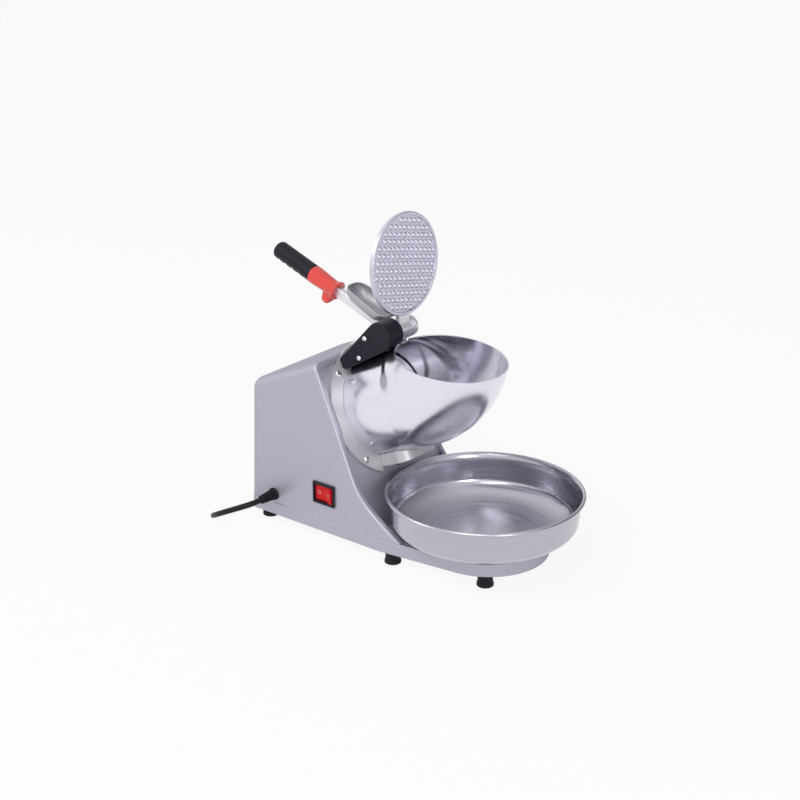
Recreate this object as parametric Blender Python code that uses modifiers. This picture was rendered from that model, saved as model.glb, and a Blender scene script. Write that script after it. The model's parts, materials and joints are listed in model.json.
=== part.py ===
"""An electric ice crusher with a press lever, a polished hopper and a serving bowl.

Metres, +Z up, the front faces -Y. The model stands on Z = 0, centred in X and Y.
"""
import math

import bmesh
import bpy
from mathutils import Matrix, Vector

# Clearances
GAP = 0.0003                 # between two pieces that rest on or in each other
RUNNING_GAP = 0.0012         # round a piece that turns inside another

# Base tray, bottom plate and feet
BASE_OVERHANG = 0.0004       # past the housing's sides
BASE_REAR_CORNER = 0.009
TAPER_START = 0.1905         # distance forward from the rear of the base
NOSE_RADIUS = 0.0685
NOSE_CENTRE = 0.2775
FOOT_HEIGHT = 0.0144
TRAY_HEIGHT = 0.0148
TRAY_WALL = 0.003
DECK_THICKNESS = 0.003
BOTTOM_PLATE_THICKNESS = 0.0012
FOOT_BOTTOM_RADIUS = 0.0095
FOOT_TOP_RADIUS = 0.0082
FOOT_PLACES = ((0.0582, 0.0117), (0.0665, 0.1995), (0.0478, 0.3100))
FOOT_BOSS_RADIUS = 0.007

# Blade axis: it leans up and forward, square to the front of the housing
AXIS_FORWARD = 0.1257
AXIS_HEIGHT = 0.1462
FRONT_LEAN = math.radians(23.5)

# Housing
HOUSING_HALF_WIDTH = 0.0790
HOUSING_TOP = 0.0701         # above the blade axis, square to it
HOUSING_WALL = 0.0032
HOUSING_TOP_EDGE = 0.010
HOUSING_REAR_EDGE = 0.013
HOUSING_REAR_DRAFT = math.radians(2.4)
LIP_WIDTH = 0.0070
LIP_DEPTH = 0.0050
LIP_RISE = 0.0020            # lip face above the front panel's face
LIP_BEND_BELOW_AXIS = 0.0841
LIP_BEND_RADIUS = 0.075
LIP_TOE = 0.2170
FRONT_PANEL_THICKNESS = 0.002

# Flange, hopper and outlet
FLANGE_INSET = 0.0030        # inside the housing's sides
FLANGE_THICKNESS = 0.0037
NOTCH_HALF_WIDTH = 0.0290
NOTCH_TOP_BELOW = 0.0603     # top of the notch below the blade axis
FLANGE_SCREW_CIRCLE = 0.0700
FLANGE_SCREW_RADIUS = 0.0019
FLANGE_SCREW_LENGTH = 0.0070
HOPPER_WALL = 0.0016
HOPPER_ROOT_RADIUS = 0.0585
HOPPER_MOUTH_RADIUS = 0.0617
MOUTH_FORWARD = 0.2265
MOUTH_HEIGHT = 0.2237
MOUTH_TILT = math.radians(7.25)
OUTLET_HALF_WIDTH = 0.026
HOOD_HALF_WIDTH = 0.0286
HOOD_REACH = 0.0415          # in front of the front panel
HOOD_CORNER = 0.015
HOOD_BELOW_AXIS = 0.0645
HOOD_WALL = 0.0016
PANEL_HOLE_BELOW = 0.0707

# Hinge of the press
HINGE_FORWARD = 0.1580
HINGE_HEIGHT = 0.2430
PIN_RADIUS = 0.004
HUB_RADIUS = 0.009
HUB_HALF_WIDTH = 0.0117
CHEEK_THICKNESS = 0.004
CHEEK_RADIUS = 0.012
COVER_DEPTH = 0.0235
COVER_RADIUS = 0.016
COVER_FOOT_RADIUS = 0.0075
COVER_WALL = 0.0022
COVER_CLEARANCE = 0.0007      # between the cover and the hopper
COVER_FOOT = (0.1105, 0.2035)
COVER_SCREWS = ((0.1395, 0.2378), (0.1312, 0.2137))
COVER_SCREW_RADIUS = 0.0014
SENSOR_PLACE = (0.1421, 0.2309)
SENSOR_SIZE = (0.0062, 0.0140, 0.0100)
SENSOR_TURN = math.radians(-40)

# Press lever
LEVER_RISE = math.radians(21.2)
BAR_WIDTH = 0.008
BAR_HEIGHT = 0.011
BAR_DROP = 0.0100
BAR_END = 0.172
COLLAR_START = 0.0915
COLLAR_END = 0.1305
COLLAR_RADIUS = 0.0097
COLLAR_WAIST_RADIUS = 0.0086
COLLAR_FLARE_RADIUS = 0.0106
SPUR_PLACE = 0.1025
SPUR_HALF_LENGTH = 0.0052
SPUR_HALF_WIDTH = 0.0045
SPUR_DROP = 0.0306
GRIP_END = 0.1870
GRIP_RADIUS = 0.0101
GRIP_END_ROUNDING = 0.0055
GRIP_GROOVES = 4
GRIP_GROOVE_DEPTH = 0.0011
SCOOP_START = 0.0150         # the scoop, along the lever from the hinge
SCOOP_END = 0.0780
SCOOP_WIDE = 0.0215          # half width at the hinge end
SCOOP_NARROW = 0.0140        # half width at the grip end
SCOOP_RIM = 0.0100           # rim above the hinge line
SCOOP_WALL = 0.0016

# Press plate
PLATE_LEAN = math.radians(3.08)
PLATE_DISTANCE = 0.0732
PLATE_OFFSET = 0.0085
PLATE_RADIUS = 0.0562
PLATE_THICKNESS = 0.005
PLATE_RIM = 0.0038
PLATE_RECESS = 0.0012
STUD_PITCH = 0.0084
STUD_WIDTH = 0.0058
STUD_HEIGHT = 0.0030
STUD_TURN = math.radians(-12.7)
NECK_WIDTH = 0.018
NECK_LENGTH = 0.040
NECK_THICKNESS = 0.006
PLATE_BOLT_RADIUS = 0.0016
PLATE_BOLT_EDGE = 0.011      # lower bolt above the plate's edge
PLATE_BOLT_PITCH = 0.008

# Blade disc and motor, along the blade axis from the front panel's face
DISC_FRONT = 0.0195
DISC_THICKNESS = 0.0025
DISC_CLEARANCE = 0.0014
BLADE_LENGTH = 0.036
BLADE_WIDTH = 0.012
BLADE_THICKNESS = 0.0012
BLADE_RADIUS_AT = 0.033
SHAFT_RADIUS = 0.004
MOTOR_RADIUS = 0.040
MOTOR_WALL = 0.002
MOTOR_FRONT_CAP = 0.018
MOTOR_SHELL_LENGTH = 0.060
MOTOR_REAR_CAP = 0.015
BEARING_RADIUS = 0.011
BEARING_WIDTH = 0.007
BLADE_SCREW_RADIUS = 0.0010
HUB_BUSH_RADIUS = 0.0085
ARMATURE_RADIUS = 0.024
ARMATURE_LENGTH = 0.034
CAP_WALL = 0.004
CAP_BOSS_RADIUS = 0.016
FAN_HUB_RADIUS = 0.009
FAN_RADIUS = 0.034
FAN_DEPTH = 0.010
FAN_BLADES = 8
CRADLE_HALF_WIDTH = 0.030
CRADLE_HALF_LENGTH = 0.006
CRADLE_RISE = 0.022          # above the lowest line of the motor
CAPACITOR_RADIUS = 0.015
CAPACITOR_LENGTH = 0.045
CAPACITOR_PLACE = (0.046, 0.062)

# Rocker switch
SWITCH_FORWARD = 0.1127
SWITCH_HEIGHT = 0.0611
SWITCH_LENGTH = 0.0310
SWITCH_WIDTH = 0.0256
SWITCH_BEZEL = 0.0022
SWITCH_BODY_LENGTH = 0.0276
SWITCH_BODY_WIDTH = 0.0218
SWITCH_BODY_DEPTH = 0.018
ROCKER_LENGTH = 0.0246
ROCKER_WIDTH = 0.0190
ROCKER_TILT = math.radians(9.0)

# Bowl
BOWL_CENTRE = 0.2739
BOWL_RIM_RADIUS = 0.1087
BOWL_RIM_HEIGHT = 0.0828
BOWL_RIM_ROLL = 0.0022
BOWL_WALL = 0.0012
BOWL_WALL_RADIUS = 0.1020
BOWL_SHOULDER_HEIGHT = 0.0530
BOWL_SEAT_RADIUS = 0.036

# Mains cord, strain relief and plug
CORD_RADIUS = 0.00325
RELIEF_FORWARD = 0.0370
RELIEF_HEIGHT = 0.0400
RELIEF_LENGTH = 0.0220
RELIEF_ROOT_RADIUS = 0.0062
RELIEF_TIP_RADIUS = 0.0049
RELIEF_RIBS = 5
CORD_ROUTE = (
    (-0.1115, 0.0354, 0.0394), (-0.1195, 0.0309, 0.0378), (-0.1284, 0.0203, 0.0335),
    (-0.1325, 0.0077, 0.0276), (-0.1311, -0.0050, 0.0207), (-0.1246, -0.0161, 0.0140),
    (-0.1138, -0.0239, 0.0084), (-0.1002, -0.0274, 0.0047), (-0.0858, -0.0260, 0.0035),
    (-0.0701, -0.0218, 0.0035), (-0.0533, -0.0184, 0.0035), (-0.0300, -0.0140, 0.0035),
    (-0.0050, -0.0105, 0.0035), (0.0200, -0.0088, 0.0036), (0.0450, -0.0074, 0.0041),
)
FLOOR_GAP = 0.0011            # room under the coil for its tie
COIL_CENTRE = (0.0840, -0.0505)
COIL_OUTER = 0.0440
COIL_TURNS = 5
COIL_STEP = 0.0070
COIL_LAYER = 0.0070
COIL_POINTS = 24
PLUG_CENTRE_X = 0.1330
PLUG_LENGTH = 0.036
PLUG_WIDTH = 0.024
PLUG_HEIGHT = 2 * (CORD_RADIUS + FLOOR_GAP + COIL_LAYER)
PLUG_NECK = 0.012
PIN_PITCH = 0.0127
PIN_THICKNESS = 0.0016
PIN_LENGTH = 0.016
EARTH_PIN_RADIUS = 0.0024
EARTH_PIN_LENGTH = 0.019
TIE_WIDTH = 0.006
TIE_THICKNESS = 0.0006

# Sizes that follow from the ones above
BASE_HALF_WIDTH = HOUSING_HALF_WIDTH + BASE_OVERHANG
FLANGE_RADIUS = HOUSING_HALF_WIDTH - FLANGE_INSET
DECK_TOP = FOOT_HEIGHT + TRAY_HEIGHT
BEARING_SEAT_RADIUS = BEARING_RADIUS + GAP
MOTOR_FRONT = -FRONT_PANEL_THICKNESS - GAP
SHELL_FRONT = MOTOR_FRONT - MOTOR_FRONT_CAP - GAP
SHELL_REAR = SHELL_FRONT - MOTOR_SHELL_LENGTH
MOTOR_REAR = SHELL_REAR - GAP - MOTOR_REAR_CAP
FLANGE_BACK = GAP
FLANGE_FRONT = FLANGE_BACK + FLANGE_THICKNESS
CHEEK_INNER = HUB_HALF_WIDTH + GAP
CHEEK_OUTER = CHEEK_INNER + CHEEK_THICKNESS
COVER_INNER = CHEEK_OUTER + GAP
COVER_OUTER = COVER_INNER + COVER_DEPTH
GRIP_BALL = GRIP_END - GRIP_END_ROUNDING
GRIP_BACK = (GRIP_BALL * math.cos(LEVER_RISE) + BAR_DROP * math.sin(LEVER_RISE) + GRIP_END_ROUNDING
             + (GRIP_RADIUS - GRIP_END_ROUNDING) * math.sin(LEVER_RISE) - HINGE_FORWARD)
BOWL_FRONT = BOWL_CENTRE + BOWL_RIM_RADIUS
Y_OF_REAR = (BOWL_FRONT - GRIP_BACK) / 2     # puts the middle of the part at Y = 0


def at(x, forward, height):
    """A point from its distance forward of the base's rear edge."""
    return Vector((x, Y_OF_REAR - forward, height))


# Frames in which the leaning pieces are laid out
AXIS_FRAME = (Matrix.Translation(at(0.0, AXIS_FORWARD, AXIS_HEIGHT))
              @ Matrix.Rotation(math.pi / 2 - FRONT_LEAN, 4, "X"))
LEVER_FRAME = (Matrix.Translation(at(0.0, HINGE_FORWARD, HINGE_HEIGHT))
               @ Matrix.Rotation(LEVER_RISE, 4, "X"))
PLATE_FRAME = (Matrix.Translation(at(0.0, HINGE_FORWARD, HINGE_HEIGHT))
               @ Matrix.Rotation(-PLATE_LEAN, 4, "X"))
HINGE_FRAME = Matrix.Translation(at(0.0, HINGE_FORWARD, HINGE_HEIGHT))
SIDE_FRAME = Matrix(((0, 0, -1, 0), (-1, 0, 0, Y_OF_REAR), (0, 1, 0, 0), (0, 0, 0, 1)))
ALONG_X = Matrix.Rotation(math.pi / 2, 4, "Y")


# Scene, collections and materials

def clear_scene():
    for obj in list(bpy.data.objects):
        bpy.data.objects.remove(obj)


def new_collection(name):
    collection = bpy.data.collections.new(name)
    bpy.context.scene.collection.children.link(collection)
    return collection


def new_material(name, colour, roughness, metallic=0.0):
    material = bpy.data.materials.new(name)
    material.use_nodes = True
    shader = material.node_tree.nodes["Principled BSDF"]
    shader.inputs["Base Color"].default_value = (*colour, 1.0)
    shader.inputs["Roughness"].default_value = roughness
    shader.inputs["Metallic"].default_value = metallic
    return material


clear_scene()
PARTS = new_collection("ice_crusher")
CUTTERS = new_collection("cutters")
SILVER_PAINT = new_material("silver_paint", (0.45, 0.44, 0.53), 0.40, 0.30)
POLISHED_ALUMINIUM = new_material("polished_aluminium", (0.80, 0.80, 0.84), 0.12, 1.0)
CAST_ALUMINIUM = new_material("cast_aluminium", (0.62, 0.62, 0.66), 0.35, 1.0)
STAINLESS = new_material("stainless", (0.62, 0.60, 0.60), 0.22, 1.0)
STEEL = new_material("steel", (0.70, 0.70, 0.72), 0.25, 1.0)
BLACK_PLASTIC = new_material("black_plastic", (0.022, 0.022, 0.030), 0.45)
RED_PLASTIC = new_material("red_plastic", (0.75, 0.03, 0.03), 0.25)
BLACK_RUBBER = new_material("black_rubber", (0.015, 0.015, 0.020), 0.70)
MOTOR_STEEL = new_material("motor_steel", (0.35, 0.35, 0.37), 0.45, 0.9)


# Axes that the moving pieces turn about

def new_axis(name, matrix):
    empty = bpy.data.objects.new(name, None)
    empty.empty_display_size = 0.02
    empty.matrix_world = matrix
    PARTS.objects.link(empty)
    return empty


BLADE_AXIS = new_axis("blade_axis", AXIS_FRAME)
PRESS_HINGE = new_axis("press_hinge", LEVER_FRAME)
PLATE_HINGE = new_axis("plate_hinge", PLATE_FRAME)


# Modelling helpers

def place(obj, material, frame, parent=None):
    """Link an object as a part, or as a cutter where it has no material."""
    if material is None:
        obj.hide_render = True
        obj.display_type = "WIRE"
        CUTTERS.objects.link(obj)
    else:
        obj.data.materials.clear()
        obj.data.materials.append(material)
        PARTS.objects.link(obj)
    if parent is not None:
        obj.parent = parent
        obj.matrix_parent_inverse = parent.matrix_world.inverted()
    obj.matrix_world = frame
    return obj


def mesh_object(name, bm, material, frame=Matrix(), parent=None, smooth=True):
    mesh = bpy.data.meshes.new(name)
    bmesh.ops.recalc_face_normals(bm, faces=bm.faces)
    bm.to_mesh(mesh)
    bm.free()
    if smooth:
        mesh.shade_smooth()
        mesh.set_sharp_from_angle(angle=math.radians(35))
    return place(bpy.data.objects.new(name, mesh), material, frame, parent)


def box(name, low, high, material, frame=Matrix(), bevel=0.0, parent=None):
    low, high = Vector(low), Vector(high)
    bm = bmesh.new()
    bmesh.ops.create_cube(bm, size=1.0)
    bmesh.ops.scale(bm, vec=high - low, verts=bm.verts)
    bmesh.ops.translate(bm, vec=(low + high) / 2, verts=bm.verts)
    obj = mesh_object(name, bm, material, frame, parent, smooth=False)
    if bevel:
        add_bevel(obj, bevel)
    return obj


def add_bevel(obj, width, segments=2):
    modifier = obj.modifiers.new("edges", "BEVEL")
    modifier.width = width
    modifier.segments = segments
    modifier.limit_method = "ANGLE"
    modifier.angle_limit = math.radians(40)


def cylinder(name, radius, low, high, material, frame=Matrix(), sides=32, parent=None, top=None):
    """A cylinder, or a cone where top gives another radius, along the frame's Z."""
    bm = bmesh.new()
    bmesh.ops.create_cone(bm, cap_ends=True, segments=sides, radius1=radius,
                          radius2=radius if top is None else top, depth=high - low)
    bmesh.ops.translate(bm, vec=(0, 0, (low + high) / 2), verts=bm.verts)
    return mesh_object(name, bm, material, frame, parent)


def turned(name, profile, material, frame=Matrix(), steps=40, closed=True, parent=None):
    """Turn a profile of (radius, height) about Z; it runs down its outer side."""
    count = len(profile)
    edges = [(i, i + 1) for i in range(count - 1)]
    if closed:
        edges.append((count - 1, 0))
    mesh = bpy.data.meshes.new(name)
    mesh.from_pydata([(radius, 0.0, height) for radius, height in profile], edges, [])
    obj = place(bpy.data.objects.new(name, mesh), material, frame, parent)
    screw = obj.modifiers.new("turn", "SCREW")
    screw.axis = "Z"
    screw.steps = steps
    screw.render_steps = steps
    screw.use_merge_vertices = True
    screw.merge_threshold = 0.00001
    return obj


def as_mesh(curve_object, name, material, frame, parent=None):
    """Turn a curve object into a welded mesh object in the same place."""
    CUTTERS.objects.link(curve_object)
    bpy.context.view_layer.update()
    evaluated = curve_object.evaluated_get(bpy.context.evaluated_depsgraph_get())
    mesh = bpy.data.meshes.new_from_object(evaluated)
    bm = bmesh.new()
    bm.from_mesh(mesh)
    bmesh.ops.remove_doubles(bm, verts=bm.verts, dist=0.000005)
    bm.to_mesh(mesh)
    bm.free()
    mesh.name = name
    curve = curve_object.data
    bpy.data.objects.remove(curve_object)
    bpy.data.curves.remove(curve)
    mesh.shade_smooth()
    mesh.set_sharp_from_angle(angle=math.radians(35))
    return place(bpy.data.objects.new(name, mesh), material, frame, parent)


def flat_solid(name, outline, low, high, material, frame=Matrix(), parent=None):
    """Extrude a closed outline in the frame's XY plane from low to high along its Z."""
    curve = bpy.data.curves.new(name, "CURVE")
    curve.dimensions = "2D"
    curve.fill_mode = "BOTH"
    curve.extrude = (high - low) / 2
    spline = curve.splines.new("POLY")
    spline.points.add(len(outline) - 1)
    for point, (x, y) in zip(spline.points, outline):
        point.co = (x, y, 0.0, 1.0)
    spline.use_cyclic_u = True
    holder = bpy.data.objects.new(name + "_curve", curve)
    return as_mesh(holder, name, material, frame @ Matrix.Translation((0, 0, (low + high) / 2)), parent)


def side_solid(name, outline, half_width, material, centre=0.0, parent=None):
    """Extrude an outline of (forward, height) points across X."""
    return flat_solid(name, outline, -centre - half_width, -centre + half_width,
                      material, SIDE_FRAME, parent)


def rounded(corners, radii, steps=6, closed=True):
    """An outline through corners, each one rounded by an arc of its own radius."""
    points = []
    count = len(corners)
    for i, (corner, radius) in enumerate(zip(corners, radii)):
        here = Vector(corner)
        if radius == 0 or (not closed and i in (0, count - 1)):
            points.append(tuple(here))
            continue
        before = (Vector(corners[i - 1]) - here).normalized()
        after = (Vector(corners[(i + 1) % count]) - here).normalized()
        half = before.angle(after) / 2
        middle = here + (before + after).normalized() * radius / math.sin(half)
        start = here + before * radius / math.tan(half) - middle
        end = here + after * radius / math.tan(half) - middle
        turn = start.angle_signed(end)
        for k in range(steps + 1):
            angle = -turn * k / steps
            points.append(tuple(middle + Matrix.Rotation(angle, 2) @ start))
    return points


def screw_profile(shank, length):
    """Half section of a pan head screw whose head rests a gap above Z = 0."""
    head = shank * 2
    return [(0.0, shank * 1.25), (head * 0.8, shank), (head, GAP), (shank, GAP), (shank, -length),
            (0.0, -length)]


def cut(obj, *cutters, operation="DIFFERENCE"):
    for cutter in cutters:
        modifier = obj.modifiers.new(operation.lower(), "BOOLEAN")
        modifier.operation = operation
        modifier.object = cutter


def loft(name, rings, material, frame=Matrix(), capped=True, parent=None):
    """Skin a row of rings, each one with the same number of points."""
    bm = bmesh.new()
    rows = [[bm.verts.new(point) for point in ring] for ring in rings]
    count = len(rows[0])
    for lower, upper in zip(rows, rows[1:]):
        for i in range(count):
            j = (i + 1) % count
            bm.faces.new((lower[i], lower[j], upper[j], upper[i]))
    if capped:
        bm.faces.new(rows[0][::-1])
        bm.faces.new(rows[-1])
    return mesh_object(name, bm, material, frame, parent)


def smooth_route(points, spacing):
    """Points at an even spacing along a smooth curve through the given ones."""
    ends = [points[0] * 2 - points[1]] + list(points) + [points[-1] * 2 - points[-2]]
    fine = []
    for a, b, c, d in zip(ends, ends[1:], ends[2:], ends[3:]):
        for k in range(16):
            t = k / 16
            fine.append(0.5 * (2 * b + (c - a) * t + (2 * a - 5 * b + 4 * c - d) * t * t
                               + (3 * b - a - 3 * c + d) * t * t * t))
    fine.append(points[-1])
    lengths = [0.0]
    for a, b in zip(fine, fine[1:]):
        lengths.append(lengths[-1] + (b - a).length)
    count = max(2, round(lengths[-1] / spacing))
    route = []
    k = 0
    for i in range(count + 1):
        target = lengths[-1] * i / count
        while k < len(fine) - 2 and lengths[k + 1] < target:
            k += 1
        share = (target - lengths[k]) / (lengths[k + 1] - lengths[k])
        route.append(fine[k].lerp(fine[k + 1], min(share, 1.0)))
    return route


def cord_tube(name, points, resolution):
    curve = bpy.data.curves.new(name, "CURVE")
    curve.dimensions = "3D"
    curve.bevel_depth = CORD_RADIUS
    curve.bevel_resolution = resolution
    curve.use_fill_caps = True
    spline = curve.splines.new("POLY")
    spline.points.add(len(points) - 1)
    for target, point in zip(spline.points, points):
        target.co = (*point, 1.0)
    return place(bpy.data.objects.new(name, curve), BLACK_PLASTIC, Matrix())


# Shapes that several pieces share

def nose_tangent(inset):
    """Angle on the nose arc where the tapered side meets it, from straight ahead."""
    side = BASE_HALF_WIDTH - inset
    radius = NOSE_RADIUS - inset
    run = NOSE_CENTRE - TAPER_START
    distance = math.hypot(run, side)
    return math.pi - math.acos(radius / distance) - math.atan2(side, run)


def base_outline(inset=0.0, steps=12):
    """Plan of the base as (x, forward), drawn in by inset."""
    side = BASE_HALF_WIDTH - inset
    corner = BASE_REAR_CORNER - min(inset, BASE_REAR_CORNER * 0.6)
    right = []
    for k in range(5):
        angle = math.pi / 2 * k / 4
        right.append((side - corner + corner * math.sin(angle),
                      inset + corner - corner * math.cos(angle)))
    right.append((side, TAPER_START))
    radius = NOSE_RADIUS - inset
    tangent = nose_tangent(inset)
    for k in range(steps):
        angle = tangent * (1 - k / steps)
        right.append((radius * math.sin(angle), NOSE_CENTRE + radius * math.cos(angle)))
    tip = [(0.0, NOSE_CENTRE + radius)]
    left = [(-x, forward) for x, forward in reversed(right)]
    return [(x, Y_OF_REAR - forward) for x, forward in right + tip + left]


def housing_plan(name, inset, material):
    """The base's outline as a prism whose rear wall leans forward."""
    rings = []
    for height in (-0.02, 0.32):
        lean = math.tan(HOUSING_REAR_DRAFT) * (height - DECK_TOP)
        ring = []
        for x, y in base_outline(inset):
            forward = Y_OF_REAR - y
            share = max(0.0, 1.0 - forward / TAPER_START)
            ring.append(at(x, forward + lean * share, height))
        rings.append(ring)
    return loft(name, rings, material)


def base_half_width(forward):
    """Half width of the base at a distance forward of its rear edge."""
    tangent = nose_tangent(0.0)
    end_x = NOSE_RADIUS * math.sin(tangent)
    end_forward = NOSE_CENTRE + NOSE_RADIUS * math.cos(tangent)
    share = (forward - TAPER_START) / (end_forward - TAPER_START)
    return BASE_HALF_WIDTH + (end_x - BASE_HALF_WIDTH) * min(max(share, 0.0), 1.0)


def on_front(above_axis, outward):
    """(forward, height) of a point given square to the leaning front."""
    return (AXIS_FORWARD - above_axis * math.sin(FRONT_LEAN) + outward * math.cos(FRONT_LEAN),
            AXIS_HEIGHT + above_axis * math.cos(FRONT_LEAN) + outward * math.sin(FRONT_LEAN))


def front_curve(inset, top, toe_height):
    """Side view of the front, from its top edge down to its toe, drawn in by inset."""
    outward = LIP_RISE - inset
    start = Vector(on_front(top, outward))
    bend = Vector(on_front(-LIP_BEND_BELOW_AXIS, LIP_RISE))
    toe = Vector((LIP_TOE, DECK_TOP))
    slope = (toe - bend).normalized()
    inward = Vector((slope.y, -slope.x)) * inset
    down = Vector((math.sin(FRONT_LEAN), -math.cos(FRONT_LEAN)))
    low_line = toe + inward
    run = low_line - start
    cross = down.x * slope.y - down.y * slope.x
    corner = start + down * ((run.x * slope.y - run.y * slope.x) / cross)
    end = low_line + slope * ((toe_height - low_line.y) / slope.y)
    points = rounded([tuple(start), tuple(corner), tuple(end)],
                     [0, LIP_BEND_RADIUS - inset, 0], steps=8, closed=False)
    return points


def housing_profile(wall, front_open):
    """Side view of the housing as (forward, height), its walls drawn in by wall."""
    bottom = DECK_TOP + GAP if wall == 0 else DECK_TOP - 0.010
    rear_foot = Vector((wall / math.cos(HOUSING_REAR_DRAFT), DECK_TOP))
    rear_up = Vector((math.sin(HOUSING_REAR_DRAFT), math.cos(HOUSING_REAR_DRAFT)))
    top_line = Vector(on_front(HOUSING_TOP - wall, 0.0))
    along = Vector((math.cos(FRONT_LEAN), math.sin(FRONT_LEAN)))
    run = top_line - rear_foot
    cross = rear_up.x * along.y - rear_up.y * along.x
    rear_top = rear_foot + rear_up * ((run.x * along.y - run.y * along.x) / cross)
    foot = rear_foot + rear_up * ((bottom - rear_foot.y) / rear_up.y)
    rear_radius = HOUSING_REAR_EDGE - wall
    if front_open:
        front_top = on_front(HOUSING_TOP - wall, LIP_RISE - LIP_DEPTH)
        drop = (front_top[1] - bottom) / math.cos(FRONT_LEAN)
        front_foot = (front_top[0] + drop * math.sin(FRONT_LEAN), bottom)
        corners = [tuple(foot), tuple(rear_top), front_top, front_foot]
        return rounded(corners, [0, rear_radius, 0, 0], steps=5)
    outline = rounded([tuple(foot), tuple(rear_top), on_front(HOUSING_TOP, LIP_RISE)],
                      [0, rear_radius, 0], steps=5, closed=False)
    return outline + front_curve(0.0, HOUSING_TOP, bottom)[1:]


def tunnel_outline(half_width, top, edge):
    """Section of the housing square to the blade axis, open far below."""
    corners = [(-half_width, -0.30), (half_width, -0.30), (half_width, top), (-half_width, top)]
    return rounded(corners, [0, 0, edge, edge], steps=5)


def hopper_rings(extra=0.0, count=32):
    """Rings of the hopper's outside, from the flange up to the mouth."""
    hinge = at(0.0, HINGE_FORWARD, HINGE_HEIGHT)
    mouth = at(0.0, MOUTH_FORWARD, MOUTH_HEIGHT)
    mouth_up = Vector((0.0, -math.sin(MOUTH_TILT), math.cos(MOUTH_TILT)))
    outer_reach = (mouth - hinge) - mouth_up * mouth_up.dot(mouth - hinge)
    bend = math.pi / 2 - MOUTH_TILT - FRONT_LEAN
    steps = 9
    rings = []
    root = AXIS_FRAME @ Vector((0.0, 0.0, FLANGE_FRONT + GAP - extra))
    sections = [(root, AXIS_FRAME.to_3x3() @ Vector((0, 1, 0)), HOPPER_ROOT_RADIUS)]
    for k in range(steps + 1):
        share = k / steps
        swing = Matrix.Rotation(bend * (1 - share), 3, "X")
        swell = min(1.0, share / 0.45)
        swell = swell * swell * (3 - 2 * swell)
        radius = HOPPER_ROOT_RADIUS + (HOPPER_MOUTH_RADIUS - HOPPER_ROOT_RADIUS) * swell
        outward = outer_reach.normalized()
        centre = (mouth - hinge) + outward * (HOPPER_MOUTH_RADIUS - radius)
        sections.append((hinge + swing @ centre, -(swing @ outward), radius))
    for centre, up, radius in sections:
        ring = []
        for i in range(count):
            angle = 2 * math.pi * i / count
            ring.append(centre + (Vector((1, 0, 0)) * math.cos(angle) + up * math.sin(angle))
                        * (radius + extra))
        rings.append(ring)
    if extra:
        rings.append([point + mouth_up * 2 * extra for point in rings[-1]])
    return rings


def arm_outline(end, end_radius, start, start_radius, steps=8):
    """Outline of a tapered arm round two circles, in (forward, height)."""
    end, start = Vector(end), Vector(start)
    axis = end - start
    heading = math.atan2(axis.y, axis.x)
    spread = math.acos((start_radius - end_radius) / axis.length)
    points = []
    for k in range(2 * steps + 1):
        angle = heading - spread + 2 * spread * k / (2 * steps)
        points.append(tuple(end + end_radius * Vector((math.cos(angle), math.sin(angle)))))
    for k in range(steps + 1):
        angle = heading + spread + (2 * math.pi - 2 * spread) * k / steps
        points.append(tuple(start + start_radius * Vector((math.cos(angle), math.sin(angle)))))
    return points


# Base tray, bottom plate and feet

def make_base():
    tray = flat_solid("base_tray", base_outline(), FOOT_HEIGHT, DECK_TOP, SILVER_PAINT)
    hollow = flat_solid("tray_hollow", base_outline(TRAY_WALL), FOOT_HEIGHT - 0.005,
                        DECK_TOP - DECK_THICKNESS, None)
    cut(tray, hollow)
    plate_low = FOOT_HEIGHT + GAP
    plate_top = plate_low + BOTTOM_PLATE_THICKNESS
    plate = flat_solid("bottom_plate", base_outline(TRAY_WALL + GAP), plate_low, plate_top, STEEL)
    number = 0
    wall_room = TRAY_WALL + FOOT_BOSS_RADIUS + 0.001
    for half_span, forward in FOOT_PLACES:
        for side in (-1, 1):
            number += 1
            spot = Matrix.Translation(at(side * half_span, forward, 0.0))
            inside = side * min(half_span, BASE_HALF_WIDTH - wall_room)
            boss_spot = Matrix.Translation(at(inside, max(forward, wall_room), 0.0))
            boss = cylinder(f"boss_{number}", FOOT_BOSS_RADIUS, plate_top + GAP,
                            DECK_TOP - DECK_THICKNESS + 0.001, None, boss_spot, 8)
            cut(tray, boss, operation="UNION")
            foot = cylinder(f"foot_{number}", FOOT_BOTTOM_RADIUS, 0.0, FOOT_HEIGHT - GAP,
                            BLACK_RUBBER, spot, 16, top=FOOT_TOP_RADIUS)
            add_bevel(foot, 0.0012, 1)


# Housing and front panel

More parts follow.
